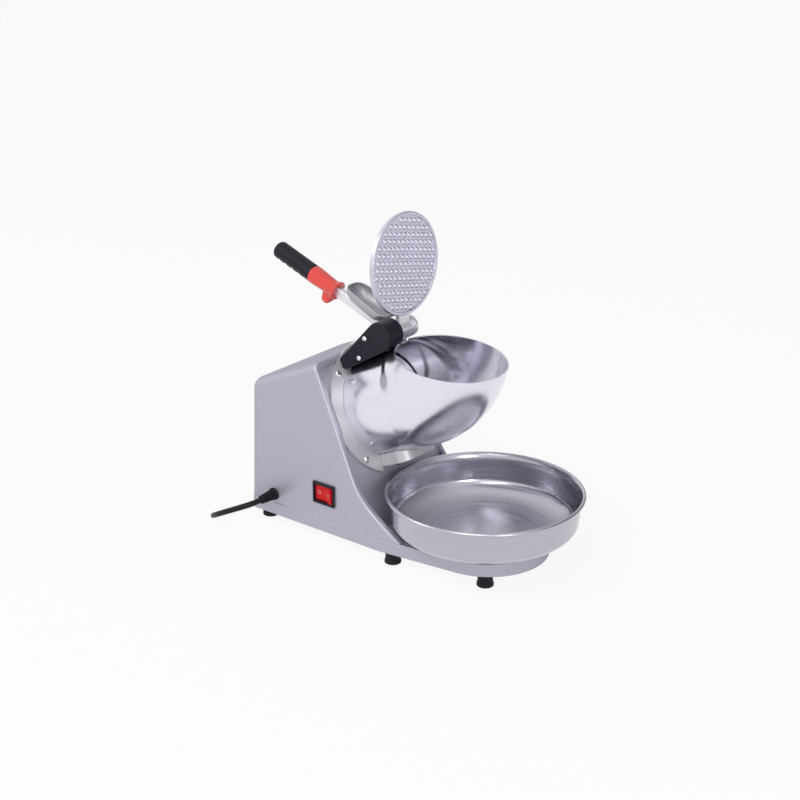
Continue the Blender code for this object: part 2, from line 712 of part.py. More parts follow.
def make_housing():
    housing = side_solid("housing", housing_profile(0.0, False), BASE_HALF_WIDTH + 0.006, SILVER_PAINT)
    plan = housing_plan("housing_plan", -0.00005, None)
    tunnel = flat_solid("housing_tunnel", tunnel_outline(HOUSING_HALF_WIDTH, HOUSING_TOP,
                        HOUSING_TOP_EDGE), -0.30, 0.30, None, AXIS_FRAME)
    cut(housing, plan, tunnel, operation="INTERSECT")
    hollow = side_solid("housing_hollow", housing_profile(HOUSING_WALL, True), BASE_HALF_WIDTH, None)
    hollow_plan = housing_plan("hollow_plan", HOUSING_WALL + 0.0004, None)
    hollow_tunnel = flat_solid("hollow_tunnel", tunnel_outline(HOUSING_HALF_WIDTH - HOUSING_WALL,
                               HOUSING_TOP - HOUSING_WALL * 1.001, HOUSING_TOP_EDGE - HOUSING_WALL),
                               -0.31, 0.31, None, AXIS_FRAME)
    cut(hollow, hollow_plan, hollow_tunnel, operation="INTERSECT")
    mouth_half = HOUSING_HALF_WIDTH - LIP_WIDTH
    corners = [(-mouth_half, -0.25), (mouth_half, -0.25), (mouth_half, HOUSING_TOP - LIP_WIDTH),
               (-mouth_half, HOUSING_TOP - LIP_WIDTH)]
    opening = flat_solid("housing_mouth", rounded(corners, [0, 0, 0.006, 0.006]),
                         LIP_RISE - LIP_DEPTH - 0.002, 0.12, None, AXIS_FRAME)
    opening_plan = flat_solid("mouth_plan", base_outline(LIP_WIDTH), -0.02, 0.32, None)
    cut(opening, opening_plan, operation="INTERSECT")
    flange_room = cylinder("flange_room", FLANGE_RADIUS + GAP, 0.0, 0.10, None, AXIS_FRAME, 64)
    room_sides = box("room_sides", (-mouth_half, -0.1, -0.01), (mouth_half, 0.1, 0.2), None, AXIS_FRAME)
    cut(flange_room, room_sides, operation="INTERSECT")
    cut(housing, hollow, opening, flange_room)
    body_hole = box("switch_hole", (-0.030, -SWITCH_BODY_LENGTH / 2 - GAP, -SWITCH_BODY_WIDTH / 2 - GAP),
                    (0.030, SWITCH_BODY_LENGTH / 2 + GAP, SWITCH_BODY_WIDTH / 2 + GAP), None,
                    Matrix.Translation(at(-HOUSING_HALF_WIDTH, SWITCH_FORWARD, SWITCH_HEIGHT)))
    cord_hole = cylinder("cord_hole", CORD_RADIUS + GAP, -0.02, 0.02, None,
                         Matrix.Translation(at(-HOUSING_HALF_WIDTH, RELIEF_FORWARD, RELIEF_HEIGHT))
                         @ ALONG_X, 20)
    cut(housing, body_hole, cord_hole)
    return housing


def make_front_panel():
    """The flat sheet between the lips, from the top down to the deck."""
    half = HOUSING_HALF_WIDTH - LIP_WIDTH - GAP
    top = HOUSING_TOP - LIP_WIDTH - GAP
    outline = rounded([(-half, -0.20), (half, -0.20), (half, top), (-half, top)], [0, 0, 0.006, 0.006])
    panel = flat_solid("front_panel", outline, -FRONT_PANEL_THICKNESS, 0.0, SILVER_PAINT, AXIS_FRAME)
    below = box("panel_foot", (-0.2, -0.4, -0.2), (0.2, 0.2, DECK_TOP + GAP), None)
    nose = cylinder("panel_bore", BEARING_RADIUS + 0.004, -0.02, 0.02, None, AXIS_FRAME)
    hole = cylinder("panel_hole", 0.0018, -0.02, 0.02, None,
                    AXIS_FRAME @ Matrix.Translation((0.0, -PANEL_HOLE_BELOW, 0.0)), 16)
    cut(panel, below, nose, hole)
    return panel


# Flange, hopper and outlet hood

def make_hopper():
    flange = cylinder("flange", FLANGE_RADIUS, FLANGE_BACK, FLANGE_FRONT, CAST_ALUMINIUM,
                      AXIS_FRAME, 40)
    notch = box("flange_notch", (-NOTCH_HALF_WIDTH, -0.1, -0.01),
                (NOTCH_HALF_WIDTH, -NOTCH_TOP_BELOW, 0.02), None, AXIS_FRAME)
    bore = cylinder("flange_bore", SHAFT_RADIUS + RUNNING_GAP, -0.02, 0.02, None, AXIS_FRAME)
    sides = box("flange_sides", (-HOUSING_HALF_WIDTH + LIP_WIDTH + GAP, -0.1, -0.01),
                (HOUSING_HALF_WIDTH - LIP_WIDTH - GAP, 0.1, 0.02), None, AXIS_FRAME)
    cut(flange, notch, bore)
    cut(flange, sides, operation="INTERSECT")
    hopper = loft("hopper", hopper_rings(), POLISHED_ALUMINIUM, capped=False)
    wall = hopper.modifiers.new("wall", "SOLIDIFY")
    wall.thickness = HOPPER_WALL
    wall.offset = -1.0
    hub_room = cylinder("hub_room", HUB_RADIUS + 0.0125, -NECK_WIDTH / 2 - 0.004, NECK_WIDTH / 2 + 0.004,
                        None, HINGE_FRAME @ ALONG_X, 40)
    outlet = box("outlet_cut", (-OUTLET_HALF_WIDTH, -0.08, 0.0),
                 (OUTLET_HALF_WIDTH, -0.040, DISC_FRONT - DISC_THICKNESS - 0.0015), None, AXIS_FRAME)
    cut(hopper, hub_room, outlet)
    across = AXIS_FRAME @ Matrix.Rotation(math.pi / 2, 4, "X")
    half, reach = HOOD_HALF_WIDTH, HOOD_REACH
    wall = HOOD_WALL
    outer = [(-half, GAP), (-half, reach), (half, reach), (half, GAP)]
    inner = [(-half + wall, -0.01), (-half + wall, reach - wall),
             (half - wall, reach - wall), (half - wall, -0.01)]
    hood = flat_solid("outlet_hood", rounded(outer, [0, HOOD_CORNER, HOOD_CORNER, 0]),
                      0.020, HOOD_BELOW_AXIS, CAST_ALUMINIUM, across)
    inside = flat_solid("hood_inside", rounded(inner, [0, HOOD_CORNER - wall, HOOD_CORNER - wall, 0]),
                        0.010, HOOD_BELOW_AXIS + 0.01, None, across)
    envelope = loft("hopper_envelope", hopper_rings(GAP * 1.5), None)
    behind = cylinder("hood_flange_room", FLANGE_RADIUS + 0.02, -0.01, FLANGE_FRONT + GAP, None,
                      AXIS_FRAME, 40)
    below = box("hood_notch_room", (-0.1, -0.2, -0.02), (0.1, -NOTCH_TOP_BELOW - GAP, 0.05), None,
                AXIS_FRAME)
    cut(behind, below)
    cut(hood, inside, envelope, behind)


# Hinge bracket, pin and the black cover on its near side

def make_hinge():
    hinge = (HINGE_FORWARD, HINGE_HEIGHT)
    foot_high = Vector(on_front(FLANGE_RADIUS - 0.010, FLANGE_FRONT))
    arm = arm_outline(hinge, CHEEK_RADIUS, tuple(foot_high), 0.0095)
    bracket = side_solid("hinge_bracket", arm, CHEEK_OUTER, CAST_ALUMINIUM)
    slot_low = FLANGE_FRONT + GAP + 0.005
    slot = box("bracket_slot", (-CHEEK_INNER, -0.05, slot_low), (CHEEK_INNER, 0.12, 0.12), None, AXIS_FRAME)
    behind = box("bracket_back", (-0.1, -0.1, -0.1), (0.1, 0.2, FLANGE_FRONT + GAP), None, AXIS_FRAME)
    pin_hole = cylinder("pin_hole", PIN_RADIUS + GAP, -0.05, 0.05, None, HINGE_FRAME @ ALONG_X, 24)
    envelope = loft("bracket_envelope", hopper_rings(GAP * 2), None)
    cut(bracket, slot, behind, envelope, pin_hole)
    stop = box("stop_web", (-CHEEK_INNER - 0.001, 0.0150, -BAR_DROP - BAR_HEIGHT / 2 - 0.0055),
               (CHEEK_INNER + 0.001, 0.0200, -BAR_DROP - BAR_HEIGHT / 2 - GAP), None, LEVER_FRAME)
    cut(bracket, stop, operation="UNION")
    pin_low = -COVER_INNER - 0.004
    pin = cylinder("hinge_pin", PIN_RADIUS, pin_low, CHEEK_OUTER + 0.0002, STEEL, HINGE_FRAME @ ALONG_X, 24)
    head = cylinder("pin_head", PIN_RADIUS + 0.0025, CHEEK_OUTER + GAP - 0.0002, CHEEK_OUTER + 0.0024,
                    None, HINGE_FRAME @ ALONG_X, 24)
    cut(pin, head, operation="UNION")
    return bracket, pin


def make_hinge_cover():
    hinge = (HINGE_FORWARD, HINGE_HEIGHT)
    middle = -(COVER_INNER + COVER_OUTER) / 2
    outer = arm_outline(hinge, COVER_RADIUS, COVER_FOOT, COVER_FOOT_RADIUS)
    cover = side_solid("hinge_cover", outer, COVER_DEPTH / 2, BLACK_PLASTIC, middle)
    inner = arm_outline(hinge, COVER_RADIUS - COVER_WALL, COVER_FOOT, COVER_FOOT_RADIUS - COVER_WALL)
    room = side_solid("cover_room", inner, COVER_DEPTH / 2, None, middle + COVER_WALL)
    behind = box("cover_back", (-0.1, -0.1, -0.1), (0.1, 0.2, FLANGE_FRONT + GAP), None, AXIS_FRAME)
    near = loft("cover_envelope", hopper_rings(COVER_CLEARANCE), None)
    cut(cover, room, behind, near)
    for number, (forward, height) in enumerate(COVER_SCREWS, 1):
        spot = Matrix.Translation(at(-COVER_OUTER, forward, height)) @ Matrix.Rotation(-math.pi / 2, 4, "Y")
        hole = cylinder(f"cover_hole_{number}", COVER_SCREW_RADIUS + GAP, -0.010, 0.010, None, spot, 12)
        cut(cover, hole)
        turned(f"cover_screw_{number}", screw_profile(COVER_SCREW_RADIUS, 0.006), STEEL, spot, 10,
               closed=False)
    deep, long, high = SENSOR_SIZE
    inner_face = -COVER_OUTER + COVER_WALL + GAP
    box("safety_switch", (inner_face, -long / 2, -high / 2), (inner_face + deep, long / 2, high / 2),
        BLACK_PLASTIC, Matrix.Translation(at(0.0, *SENSOR_PLACE)) @ Matrix.Rotation(SENSOR_TURN, 4, "X"))


# Flange screws

def make_flange_screws():
    for number in range(1, 5):
        angle = math.radians(45 + 90 * (number - 1))
        spot = AXIS_FRAME @ Matrix.Translation((FLANGE_SCREW_CIRCLE * math.cos(angle),
                                                FLANGE_SCREW_CIRCLE * math.sin(angle), FLANGE_FRONT))
        hole = cylinder(f"screw_hole_{number}", FLANGE_SCREW_RADIUS + GAP, -0.012, 0.004, None, spot, 12)
        cut(bpy.data.objects["flange"], hole)
        cut(bpy.data.objects["front_panel"], hole)
        turned(f"flange_screw_{number}", screw_profile(FLANGE_SCREW_RADIUS, FLANGE_SCREW_LENGTH), STEEL,
               spot, 10, closed=False)


# Press lever: arm, collar, grip and guard

def slab_ring(centre_y, half_x, half_z, drop, count=20, power=2.6):
    """A rounded section of the lever, square to its length."""
    ring = []
    for i in range(count):
        angle = 2 * math.pi * i / count
        c, s = math.cos(angle), math.sin(angle)
        ring.append(Vector((half_x * math.copysign(abs(c) ** (2 / power), c), centre_y,
                            -drop + half_z * math.copysign(abs(s) ** (2 / power), s))))
    return ring


def make_press_arm():
    arm = box("press_arm", (-BAR_WIDTH / 2, 0.002, -BAR_DROP - BAR_HEIGHT / 2),
              (BAR_WIDTH / 2, BAR_END, -BAR_DROP + BAR_HEIGHT / 2), CAST_ALUMINIUM, LEVER_FRAME,
              parent=PRESS_HINGE)
    hub = cylinder("arm_hub", HUB_RADIUS, -HUB_HALF_WIDTH, HUB_HALF_WIDTH, None, HINGE_FRAME @ ALONG_X, 32)
    root = box("arm_root", (-BAR_WIDTH / 2 - 0.001, -0.003, -BAR_DROP - BAR_HEIGHT / 2 + 0.0005),
               (BAR_WIDTH / 2 + 0.001, 0.0135, -0.002), None, LEVER_FRAME)
    back = -PLATE_OFFSET + PLATE_THICKNESS / 2 + GAP
    neck = box("arm_neck", (-NECK_WIDTH / 2, back, 0.0), (NECK_WIDTH / 2, back + NECK_THICKNESS, NECK_LENGTH),
               None, PLATE_FRAME)
    cut(arm, hub, root, neck, operation="UNION")
    hole = cylinder("arm_pin_hole", PIN_RADIUS + GAP, -0.03, 0.03, None, HINGE_FRAME @ ALONG_X, 24)
    cut(arm, hole)
    return arm


def make_collar():
    sections = ((COLLAR_START, COLLAR_FLARE_RADIUS), (COLLAR_START + 0.0022, COLLAR_FLARE_RADIUS),
                (COLLAR_START + 0.0050, COLLAR_WAIST_RADIUS), (COLLAR_START + 0.010, COLLAR_WAIST_RADIUS),
                (COLLAR_END - 0.003, COLLAR_RADIUS), (COLLAR_END, COLLAR_RADIUS))
    rings = [slab_ring(along, radius, radius, BAR_DROP) for along, radius in sections]
    collar = loft("lever_collar", rings, RED_PLASTIC, LEVER_FRAME, parent=PRESS_HINGE)
    low = -SPUR_DROP
    half = SPUR_HALF_LENGTH
    corners = [(SPUR_PLACE - half, low), (SPUR_PLACE + half, low),
               (SPUR_PLACE + half * 1.5, -BAR_DROP), (SPUR_PLACE - half * 1.2, -BAR_DROP)]
    spur_frame = LEVER_FRAME @ Matrix(((0, 0, 1, 0), (1, 0, 0, 0), (0, 1, 0, 0), (0, 0, 0, 1)))
    spur = flat_solid("collar_spur", rounded(corners, [half * 0.9, half * 0.9, 0, 0]),
                      -SPUR_HALF_WIDTH, SPUR_HALF_WIDTH, None, spur_frame)
    add_bevel(spur, 0.0014)
    cut(collar, spur, operation="UNION")
    return collar


def make_grip():
    rings = []
    start = COLLAR_END + GAP
    straight = GRIP_BALL - start
    count = 16
    stations = 16
    for k in range(stations + 1):
        y = start + straight * k / stations
        wave = max(0.0, -math.cos(2 * math.pi * GRIP_GROOVES * k / stations))
        wave *= math.sin(math.pi * k / stations)
        ring = []
        for i in range(count):
            angle = 2 * math.pi * i / count
            under = max(0.0, -math.sin(angle))
            radius = GRIP_RADIUS - GRIP_GROOVE_DEPTH * wave * under
            ring.append(Vector((radius * math.cos(angle), y, -BAR_DROP + radius * math.sin(angle))))
        rings.append(ring)
    for k in range(1, 5):
        turn = math.pi / 2 * k / 4
        y = GRIP_BALL + GRIP_END_ROUNDING * math.sin(turn)
        radius = GRIP_RADIUS - GRIP_END_ROUNDING * (1 - math.cos(turn))
        rings.append([Vector((radius * math.cos(2 * math.pi * i / count), y,
                              -BAR_DROP + radius * math.sin(2 * math.pi * i / count))) for i in range(count)])
    return loft("lever_grip", rings, BLACK_PLASTIC, LEVER_FRAME, parent=PRESS_HINGE)


def make_bar_slots():
    """The bar runs through the collar and into the grip."""
    slot = box("bar_slot", (-BAR_WIDTH / 2 - GAP, COLLAR_START - 0.01, -BAR_DROP - BAR_HEIGHT / 2 - GAP),
               (BAR_WIDTH / 2 + GAP, BAR_END + 0.001, -BAR_DROP + BAR_HEIGHT / 2 + GAP), None, LEVER_FRAME)
    cut(bpy.data.objects["lever_collar"], slot)
    cut(bpy.data.objects["lever_grip"], slot)


def scoop_ring(share, height, inset):
    """The scoop's outline at a height, drawn in to a share of the rim's size."""
    wide, narrow = SCOOP_WIDE - inset, SCOOP_NARROW - inset
    start, end = SCOOP_START + inset, SCOOP_END - inset
    middle = (SCOOP_START + SCOOP_END) / 2
    corners = [(-wide, start), (wide, start), (narrow, end), (-narrow, end)]
    outline = rounded(corners, [0.009 - inset, 0.009 - inset, 0.0125 - inset, 0.0125 - inset], 5)
    return [Vector((x * share, middle + (y - middle) * share, height)) for x, y in outline]


def make_scoop():
    """A deep scoop that is seated on the bar, behind the plate and open towards it."""
    low = -BAR_DROP + BAR_HEIGHT / 2 + GAP
    depth = SCOOP_RIM - low
    levels = ((0.45, 0.0), (0.66, 0.10), (0.82, 0.30), (0.93, 0.62), (1.0, 1.0))
    inner = [scoop_ring(share, low + SCOOP_WALL + (depth - SCOOP_WALL) * rise, SCOOP_WALL)
             for share, rise in levels]
    outer = [scoop_ring(share, low + depth * rise, 0.0) for share, rise in reversed(levels)]
    return loft("lever_scoop", inner + outer, CAST_ALUMINIUM, LEVER_FRAME, parent=PRESS_HINGE)


# Press plate with its field of pyramid studs

def make_press_plate():
    frame = (PLATE_FRAME @ Matrix.Translation((0.0, -PLATE_OFFSET, PLATE_DISTANCE))
             @ Matrix.Rotation(math.pi / 2, 4, "X"))
    front = PLATE_THICKNESS / 2
    floor = front - PLATE_RECESS
    inner = PLATE_RADIUS - PLATE_RIM
    plate = cylinder("press_plate", PLATE_RADIUS, -front, front, POLISHED_ALUMINIUM, frame, 48,
                     parent=PLATE_HINGE)
    add_bevel(plate, 0.0008, 1)
    recess = cylinder("plate_recess", inner, floor, front + 0.001, None, frame, 48)
    bm = bmesh.new()
    reach = int(inner / STUD_PITCH) + 1
    turn = Matrix.Rotation(STUD_TURN, 3, "Z")
    half = STUD_WIDTH / 2
    for i in range(-reach, reach + 1):
        for j in range(-reach, reach + 1):
            centre = turn @ Vector((i * STUD_PITCH, j * STUD_PITCH, 0.0))
            if centre.length > inner - half * 1.25:
                continue
            base = [bm.verts.new(centre + turn @ Vector((x * half, y * half, floor - 0.0004)))
                    for x, y in ((-1, -1), (1, -1), (1, 1), (-1, 1))]
            tip = bm.verts.new(centre + Vector((0.0, 0.0, floor + STUD_HEIGHT)))
            bm.faces.new(base[::-1])
            for k in range(4):
                bm.faces.new((base[k], base[(k + 1) % 4], tip))
    studs = mesh_object("plate_studs", bm, None, frame, smooth=False)
    cut(plate, recess)
    cut(plate, studs, operation="UNION")
    back = -PLATE_OFFSET + PLATE_THICKNESS / 2 + GAP + NECK_THICKNESS
    lowest = PLATE_DISTANCE - PLATE_RADIUS + PLATE_BOLT_EDGE
    for number, level in enumerate((lowest, lowest + PLATE_BOLT_PITCH), 1):
        spot = PLATE_FRAME @ Matrix.Translation((0.0, back, level)) @ Matrix.Rotation(-math.pi / 2, 4, "X")
        length = NECK_THICKNESS + 0.0024
        hole = cylinder(f"plate_hole_{number}", PLATE_BOLT_RADIUS + GAP, -length - 2 * GAP, 0.004, None,
                        spot, 12)
        cut(plate, hole)
        cut(bpy.data.objects["press_arm"], hole)
        turned(f"plate_bolt_{number}", screw_profile(PLATE_BOLT_RADIUS, length), STEEL, spot, 12,
               closed=False, parent=PLATE_HINGE)


# Blade disc, shaft and motor, all on the blade axis

def sleeve(radius, top, low):
    """Half section of a sleeve that is seated on the shaft."""
    bore = SHAFT_RADIUS + GAP
    return [(radius, top), (radius, low), (bore, low), (bore, top)]


def make_rotor():
    disc_back = DISC_FRONT - DISC_THICKNESS
    disc_radius = HOPPER_ROOT_RADIUS - HOPPER_WALL - DISC_CLEARANCE
    disc = cylinder("blade_disc", disc_radius, disc_back, DISC_FRONT, STEEL, AXIS_FRAME, 40,
                    parent=BLADE_AXIS)
    hole = cylinder("disc_hole", SHAFT_RADIUS + GAP, -0.03, 0.05, None, AXIS_FRAME, 24)
    cut(disc, hole)
    screw_number = 0
    for name, turn in (("blade_a", 0.0), ("blade_b", math.pi)):
        frame = AXIS_FRAME @ Matrix.Rotation(turn, 4, "Z")
        slot = box(f"{name}_slot", (BLADE_RADIUS_AT - 0.013, 0.0035, disc_back - 0.01),
                   (BLADE_RADIUS_AT + 0.013, 0.0075, DISC_FRONT + 0.01), None, frame)
        cut(disc, slot)
        low = DISC_FRONT + GAP
        blade = box(name, (BLADE_RADIUS_AT - BLADE_LENGTH / 2, -BLADE_WIDTH / 2 - 0.002, low),
                    (BLADE_RADIUS_AT + BLADE_LENGTH / 2, BLADE_WIDTH / 2 - 0.002, low + BLADE_THICKNESS),
                    STEEL, frame, bevel=0.0004, parent=BLADE_AXIS)
        for side in (-1, 1):
            screw_number += 1
            spot = frame @ Matrix.Translation((BLADE_RADIUS_AT + side * 0.0125, -0.0035,
                                               low + BLADE_THICKNESS))
            screw_hole = cylinder(f"blade_hole_{screw_number}", BLADE_SCREW_RADIUS + GAP, -0.012, 0.01,
                                  None, spot, 16)
            cut(blade, screw_hole)
            cut(disc, screw_hole)
            turned(f"blade_screw_{screw_number}", screw_profile(BLADE_SCREW_RADIUS, 0.0040), STEEL, spot,
                   10, closed=False, parent=BLADE_AXIS)
    nut_low = DISC_FRONT + GAP
    nut = cylinder("disc_nut", 0.0085, nut_low, nut_low + 0.0070, STEEL, AXIS_FRAME, 6, parent=BLADE_AXIS)
    cut(nut, cylinder("nut_hole", SHAFT_RADIUS + GAP, 0.0, 0.05, None, AXIS_FRAME, 24))
    rear = MOTOR_REAR + 0.0045
    tip = nut_low + 0.0085
    shaft_profile = [(0.0, tip), (SHAFT_RADIUS - 0.0005, tip), (SHAFT_RADIUS, tip - 0.0005),
                     (SHAFT_RADIUS, rear), (0.0, rear)]
    turned("motor_shaft", shaft_profile, STEEL, AXIS_FRAME, 24, closed=False, parent=BLADE_AXIS)
    turned("disc_spacer", sleeve(HUB_BUSH_RADIUS, disc_back - GAP, FLANGE_FRONT + 0.0030), STEEL,
           AXIS_FRAME, 24, parent=BLADE_AXIS)
    armature_top = SHELL_FRONT - 0.008
    armature_low = armature_top - ARMATURE_LENGTH
    turned("armature", sleeve(ARMATURE_RADIUS, armature_top, armature_low), MOTOR_STEEL, AXIS_FRAME, 24,
           parent=BLADE_AXIS)
    fan_top = armature_low - 0.002
    fan_low = fan_top - FAN_DEPTH
    fan = turned("cooling_fan", sleeve(FAN_HUB_RADIUS, fan_top, fan_low), BLACK_PLASTIC, AXIS_FRAME, 24,
                 parent=BLADE_AXIS)
    for k in range(FAN_BLADES):
        frame = AXIS_FRAME @ Matrix.Rotation(2 * math.pi * k / FAN_BLADES, 4, "Z")
        vane = box(f"fan_vane_{k + 1}", (FAN_HUB_RADIUS - 0.0015, -0.0006, fan_low + 0.0005),
                   (FAN_RADIUS, 0.0006, fan_top - 0.0005), None, frame)
        cut(fan, vane, operation="UNION")


def make_motor():
    radius = MOTOR_RADIUS
    inner = radius - MOTOR_WALL
    shell = [(radius, SHELL_FRONT), (radius, SHELL_REAR), (inner, SHELL_REAR), (inner, SHELL_FRONT)]
    turned("motor_shell", shell, MOTOR_STEEL, AXIS_FRAME, 24)
    wall = CAP_WALL
    seat = MOTOR_FRONT - 0.0030
    rim_low = MOTOR_FRONT - MOTOR_FRONT_CAP
    web_low = MOTOR_FRONT - 0.010
    bore = SHAFT_RADIUS + RUNNING_GAP
    front = [(0.022, MOTOR_FRONT), (radius, MOTOR_FRONT - 0.006), (radius, rim_low), (radius - wall, rim_low),
             (radius - wall, web_low), (CAP_BOSS_RADIUS, web_low), (CAP_BOSS_RADIUS, seat - BEARING_WIDTH),
             (BEARING_SEAT_RADIUS, seat - BEARING_WIDTH), (BEARING_SEAT_RADIUS, seat), (bore, seat),
             (bore, MOTOR_FRONT)]
    turned("motor_front_cap", front, CAST_ALUMINIUM, AXIS_FRAME, 24)
    low = MOTOR_REAR
    top = SHELL_REAR - GAP
    floor = low + 0.003
    boss_top = floor + BEARING_WIDTH + 0.0015
    rear = [(0.0, floor), (BEARING_SEAT_RADIUS, floor), (BEARING_SEAT_RADIUS, boss_top),
            (CAP_BOSS_RADIUS, boss_top), (CAP_BOSS_RADIUS, low + 0.0055), (radius - wall, top - 0.003),
            (radius - wall, top), (radius, top), (radius, top - 0.005), (0.028, low), (0.0, low)]
    turned("motor_rear_cap", rear, CAST_ALUMINIUM, AXIS_FRAME, 24, closed=False)
    for name, start in (("front_bearing", seat - GAP), ("rear_bearing", floor + GAP + BEARING_WIDTH)):
        turned(name, sleeve(BEARING_RADIUS, start, start - BEARING_WIDTH + GAP), STEEL, AXIS_FRAME, 24)
    middle = (SHELL_FRONT + SHELL_REAR) / 2
    foot = AXIS_FRAME @ Vector((0.0, -radius, middle))
    cradle = box("motor_cradle", (-CRADLE_HALF_WIDTH, foot.y - CRADLE_HALF_LENGTH, DECK_TOP + GAP),
                 (CRADLE_HALF_WIDTH, foot.y + CRADLE_HALF_LENGTH, foot.z + CRADLE_RISE), SILVER_PAINT)
    bed = cylinder("cradle_bed", radius + GAP, MOTOR_REAR - radius, 0.0, None, AXIS_FRAME, 40)
    cut(cradle, bed)
    lying = Matrix.Rotation(math.pi / 2, 4, "X")
    side, forward = CAPACITOR_PLACE
    spot = Matrix.Translation(at(side, forward, DECK_TOP + GAP + CAPACITOR_RADIUS)) @ lying
    capacitor = cylinder("run_capacitor", CAPACITOR_RADIUS, -CAPACITOR_LENGTH, 0.0, BLACK_PLASTIC, spot, 24)
    add_bevel(capacitor, 0.0015)


# Rocker switch

def make_switch():
    centre = at(-HOUSING_HALF_WIDTH, SWITCH_FORWARD, SWITCH_HEIGHT)
    frame = Matrix.Translation(centre)
    outer = -GAP
    bezel = box("switch_bezel", (outer - SWITCH_BEZEL, -SWITCH_LENGTH / 2, -SWITCH_WIDTH / 2),
                (outer, SWITCH_LENGTH / 2, SWITCH_WIDTH / 2), BLACK_PLASTIC, frame, bevel=0.0006)
    body = box("switch_body", (outer - 0.0005, -SWITCH_BODY_LENGTH / 2, -SWITCH_BODY_WIDTH / 2),
               (SWITCH_BODY_DEPTH, SWITCH_BODY_LENGTH / 2, SWITCH_BODY_WIDTH / 2), None, frame)
    well = box("switch_well", (-0.01, -ROCKER_LENGTH / 2 - 0.0012, -ROCKER_WIDTH / 2 - 0.0004),
               (0.0085, ROCKER_LENGTH / 2 + 0.0012, ROCKER_WIDTH / 2 + 0.0004), None, frame)
    cut(bezel, body, operation="UNION")
    cut(bezel, well)
    half = ROCKER_LENGTH / 2
    pivot = 0.0030
    corners = []
    for k in range(9):
        share = -1 + k / 4
        corners.append((share * half, 0.0050 - 0.0022 * (1 - share * share)))
    corners += [(half, -0.0008), (0.0, -0.0045), (-half, -0.0008)]
    face = Matrix(((0, -1, 0, 0), (1, 0, 0, 0), (0, 0, 1, 0), (0, 0, 0, 1)))
    tilt = Matrix.Rotation(-ROCKER_TILT, 4, "Z")
    rocker_frame = frame @ Matrix.Translation((pivot, 0.0, 0.0)) @ tilt @ face
    flat_solid("switch_rocker", corners, -ROCKER_WIDTH / 2, ROCKER_WIDTH / 2, RED_PLASTIC, rocker_frame)


# Bowl

def make_bowl():
    low = DECK_TOP + GAP
    roll = BOWL_RIM_ROLL
    rim = BOWL_RIM_RADIUS - roll
    outer = []
    for k in range(6):
        angle = math.radians(90 - 42 * k)
        outer.append((rim + roll * math.cos(angle), BOWL_RIM_HEIGHT - roll + roll * math.sin(angle)))
    outer.append((BOWL_WALL_RADIUS + 0.0012, BOWL_RIM_HEIGHT - 0.012))
    steps = 6
    for k in range(steps + 1):
        angle = math.pi / 2 * k / steps
        outer.append((BOWL_SEAT_RADIUS + (BOWL_WALL_RADIUS - BOWL_SEAT_RADIUS) * math.cos(angle),
                      BOWL_SHOULDER_HEIGHT - (BOWL_SHOULDER_HEIGHT - low) * math.sin(angle)))
    outer.append((0.0, low))
    inner = [(0.0, low + BOWL_WALL)]
    for k in range(steps + 1):
        angle = math.pi / 2 * (1 - k / steps)
        inner.append((BOWL_SEAT_RADIUS + (BOWL_WALL_RADIUS - BOWL_WALL - BOWL_SEAT_RADIUS) * math.cos(angle),
                      BOWL_SHOULDER_HEIGHT - (BOWL_SHOULDER_HEIGHT - low - BOWL_WALL) * math.sin(angle)))
    inner.append((BOWL_WALL_RADIUS + 0.0012 - BOWL_WALL, BOWL_RIM_HEIGHT - 0.012))
    inner.append((rim - roll * 0.9, BOWL_RIM_HEIGHT - roll * 0.5))
    frame = Matrix.Translation(at(0.0, BOWL_CENTRE, 0.0))
    turned("bowl", inner + outer, STAINLESS, frame, 40, closed=False)


# Strain relief, cord, coil and plug

def coil_points():
    """Two layers: in at a steady rate, up half a turn, and out again."""
    cx, forward = COIL_CENTRE
    turns_in = COIL_TURNS / 2
    total = COIL_TURNS * COIL_POINTS
    points = []
    for k in range(total + 1):
        turn = k / COIL_POINTS
        inward = min(turn, COIL_TURNS - turn)
        radius = COIL_OUTER - COIL_STEP * inward
        climb = min(max((turn - turns_in + 0.25) / 0.5, 0.0), 1.0)
        height = CORD_RADIUS + FLOOR_GAP + COIL_LAYER * climb
        angle = math.pi / 2 - 2 * math.pi * turn
        points.append(at(cx + radius * math.cos(angle), forward + radius * math.sin(angle), height))
    lead = Vector((2 * CORD_RADIUS, 0.0, 0.0))
    return [points[0] - lead] + points + [points[-1] + lead]


def least_gap(points):
    """The least space between the turns of the coil."""
    least = 1.0
    skip = int(COIL_POINTS / 3)
    for i, a in enumerate(points[:-1]):
        for b, c in zip(points[i + skip:], points[i + skip + 1:]):
            along = c - b
            share = min(max((a - b).dot(along) / along.length_squared, 0.0), 1.0)
            least = min(least, (a - b - along * share).length)
    print(f"least gap in the coil: {(least - 2 * CORD_RADIUS) * 1000:.2f} mm")


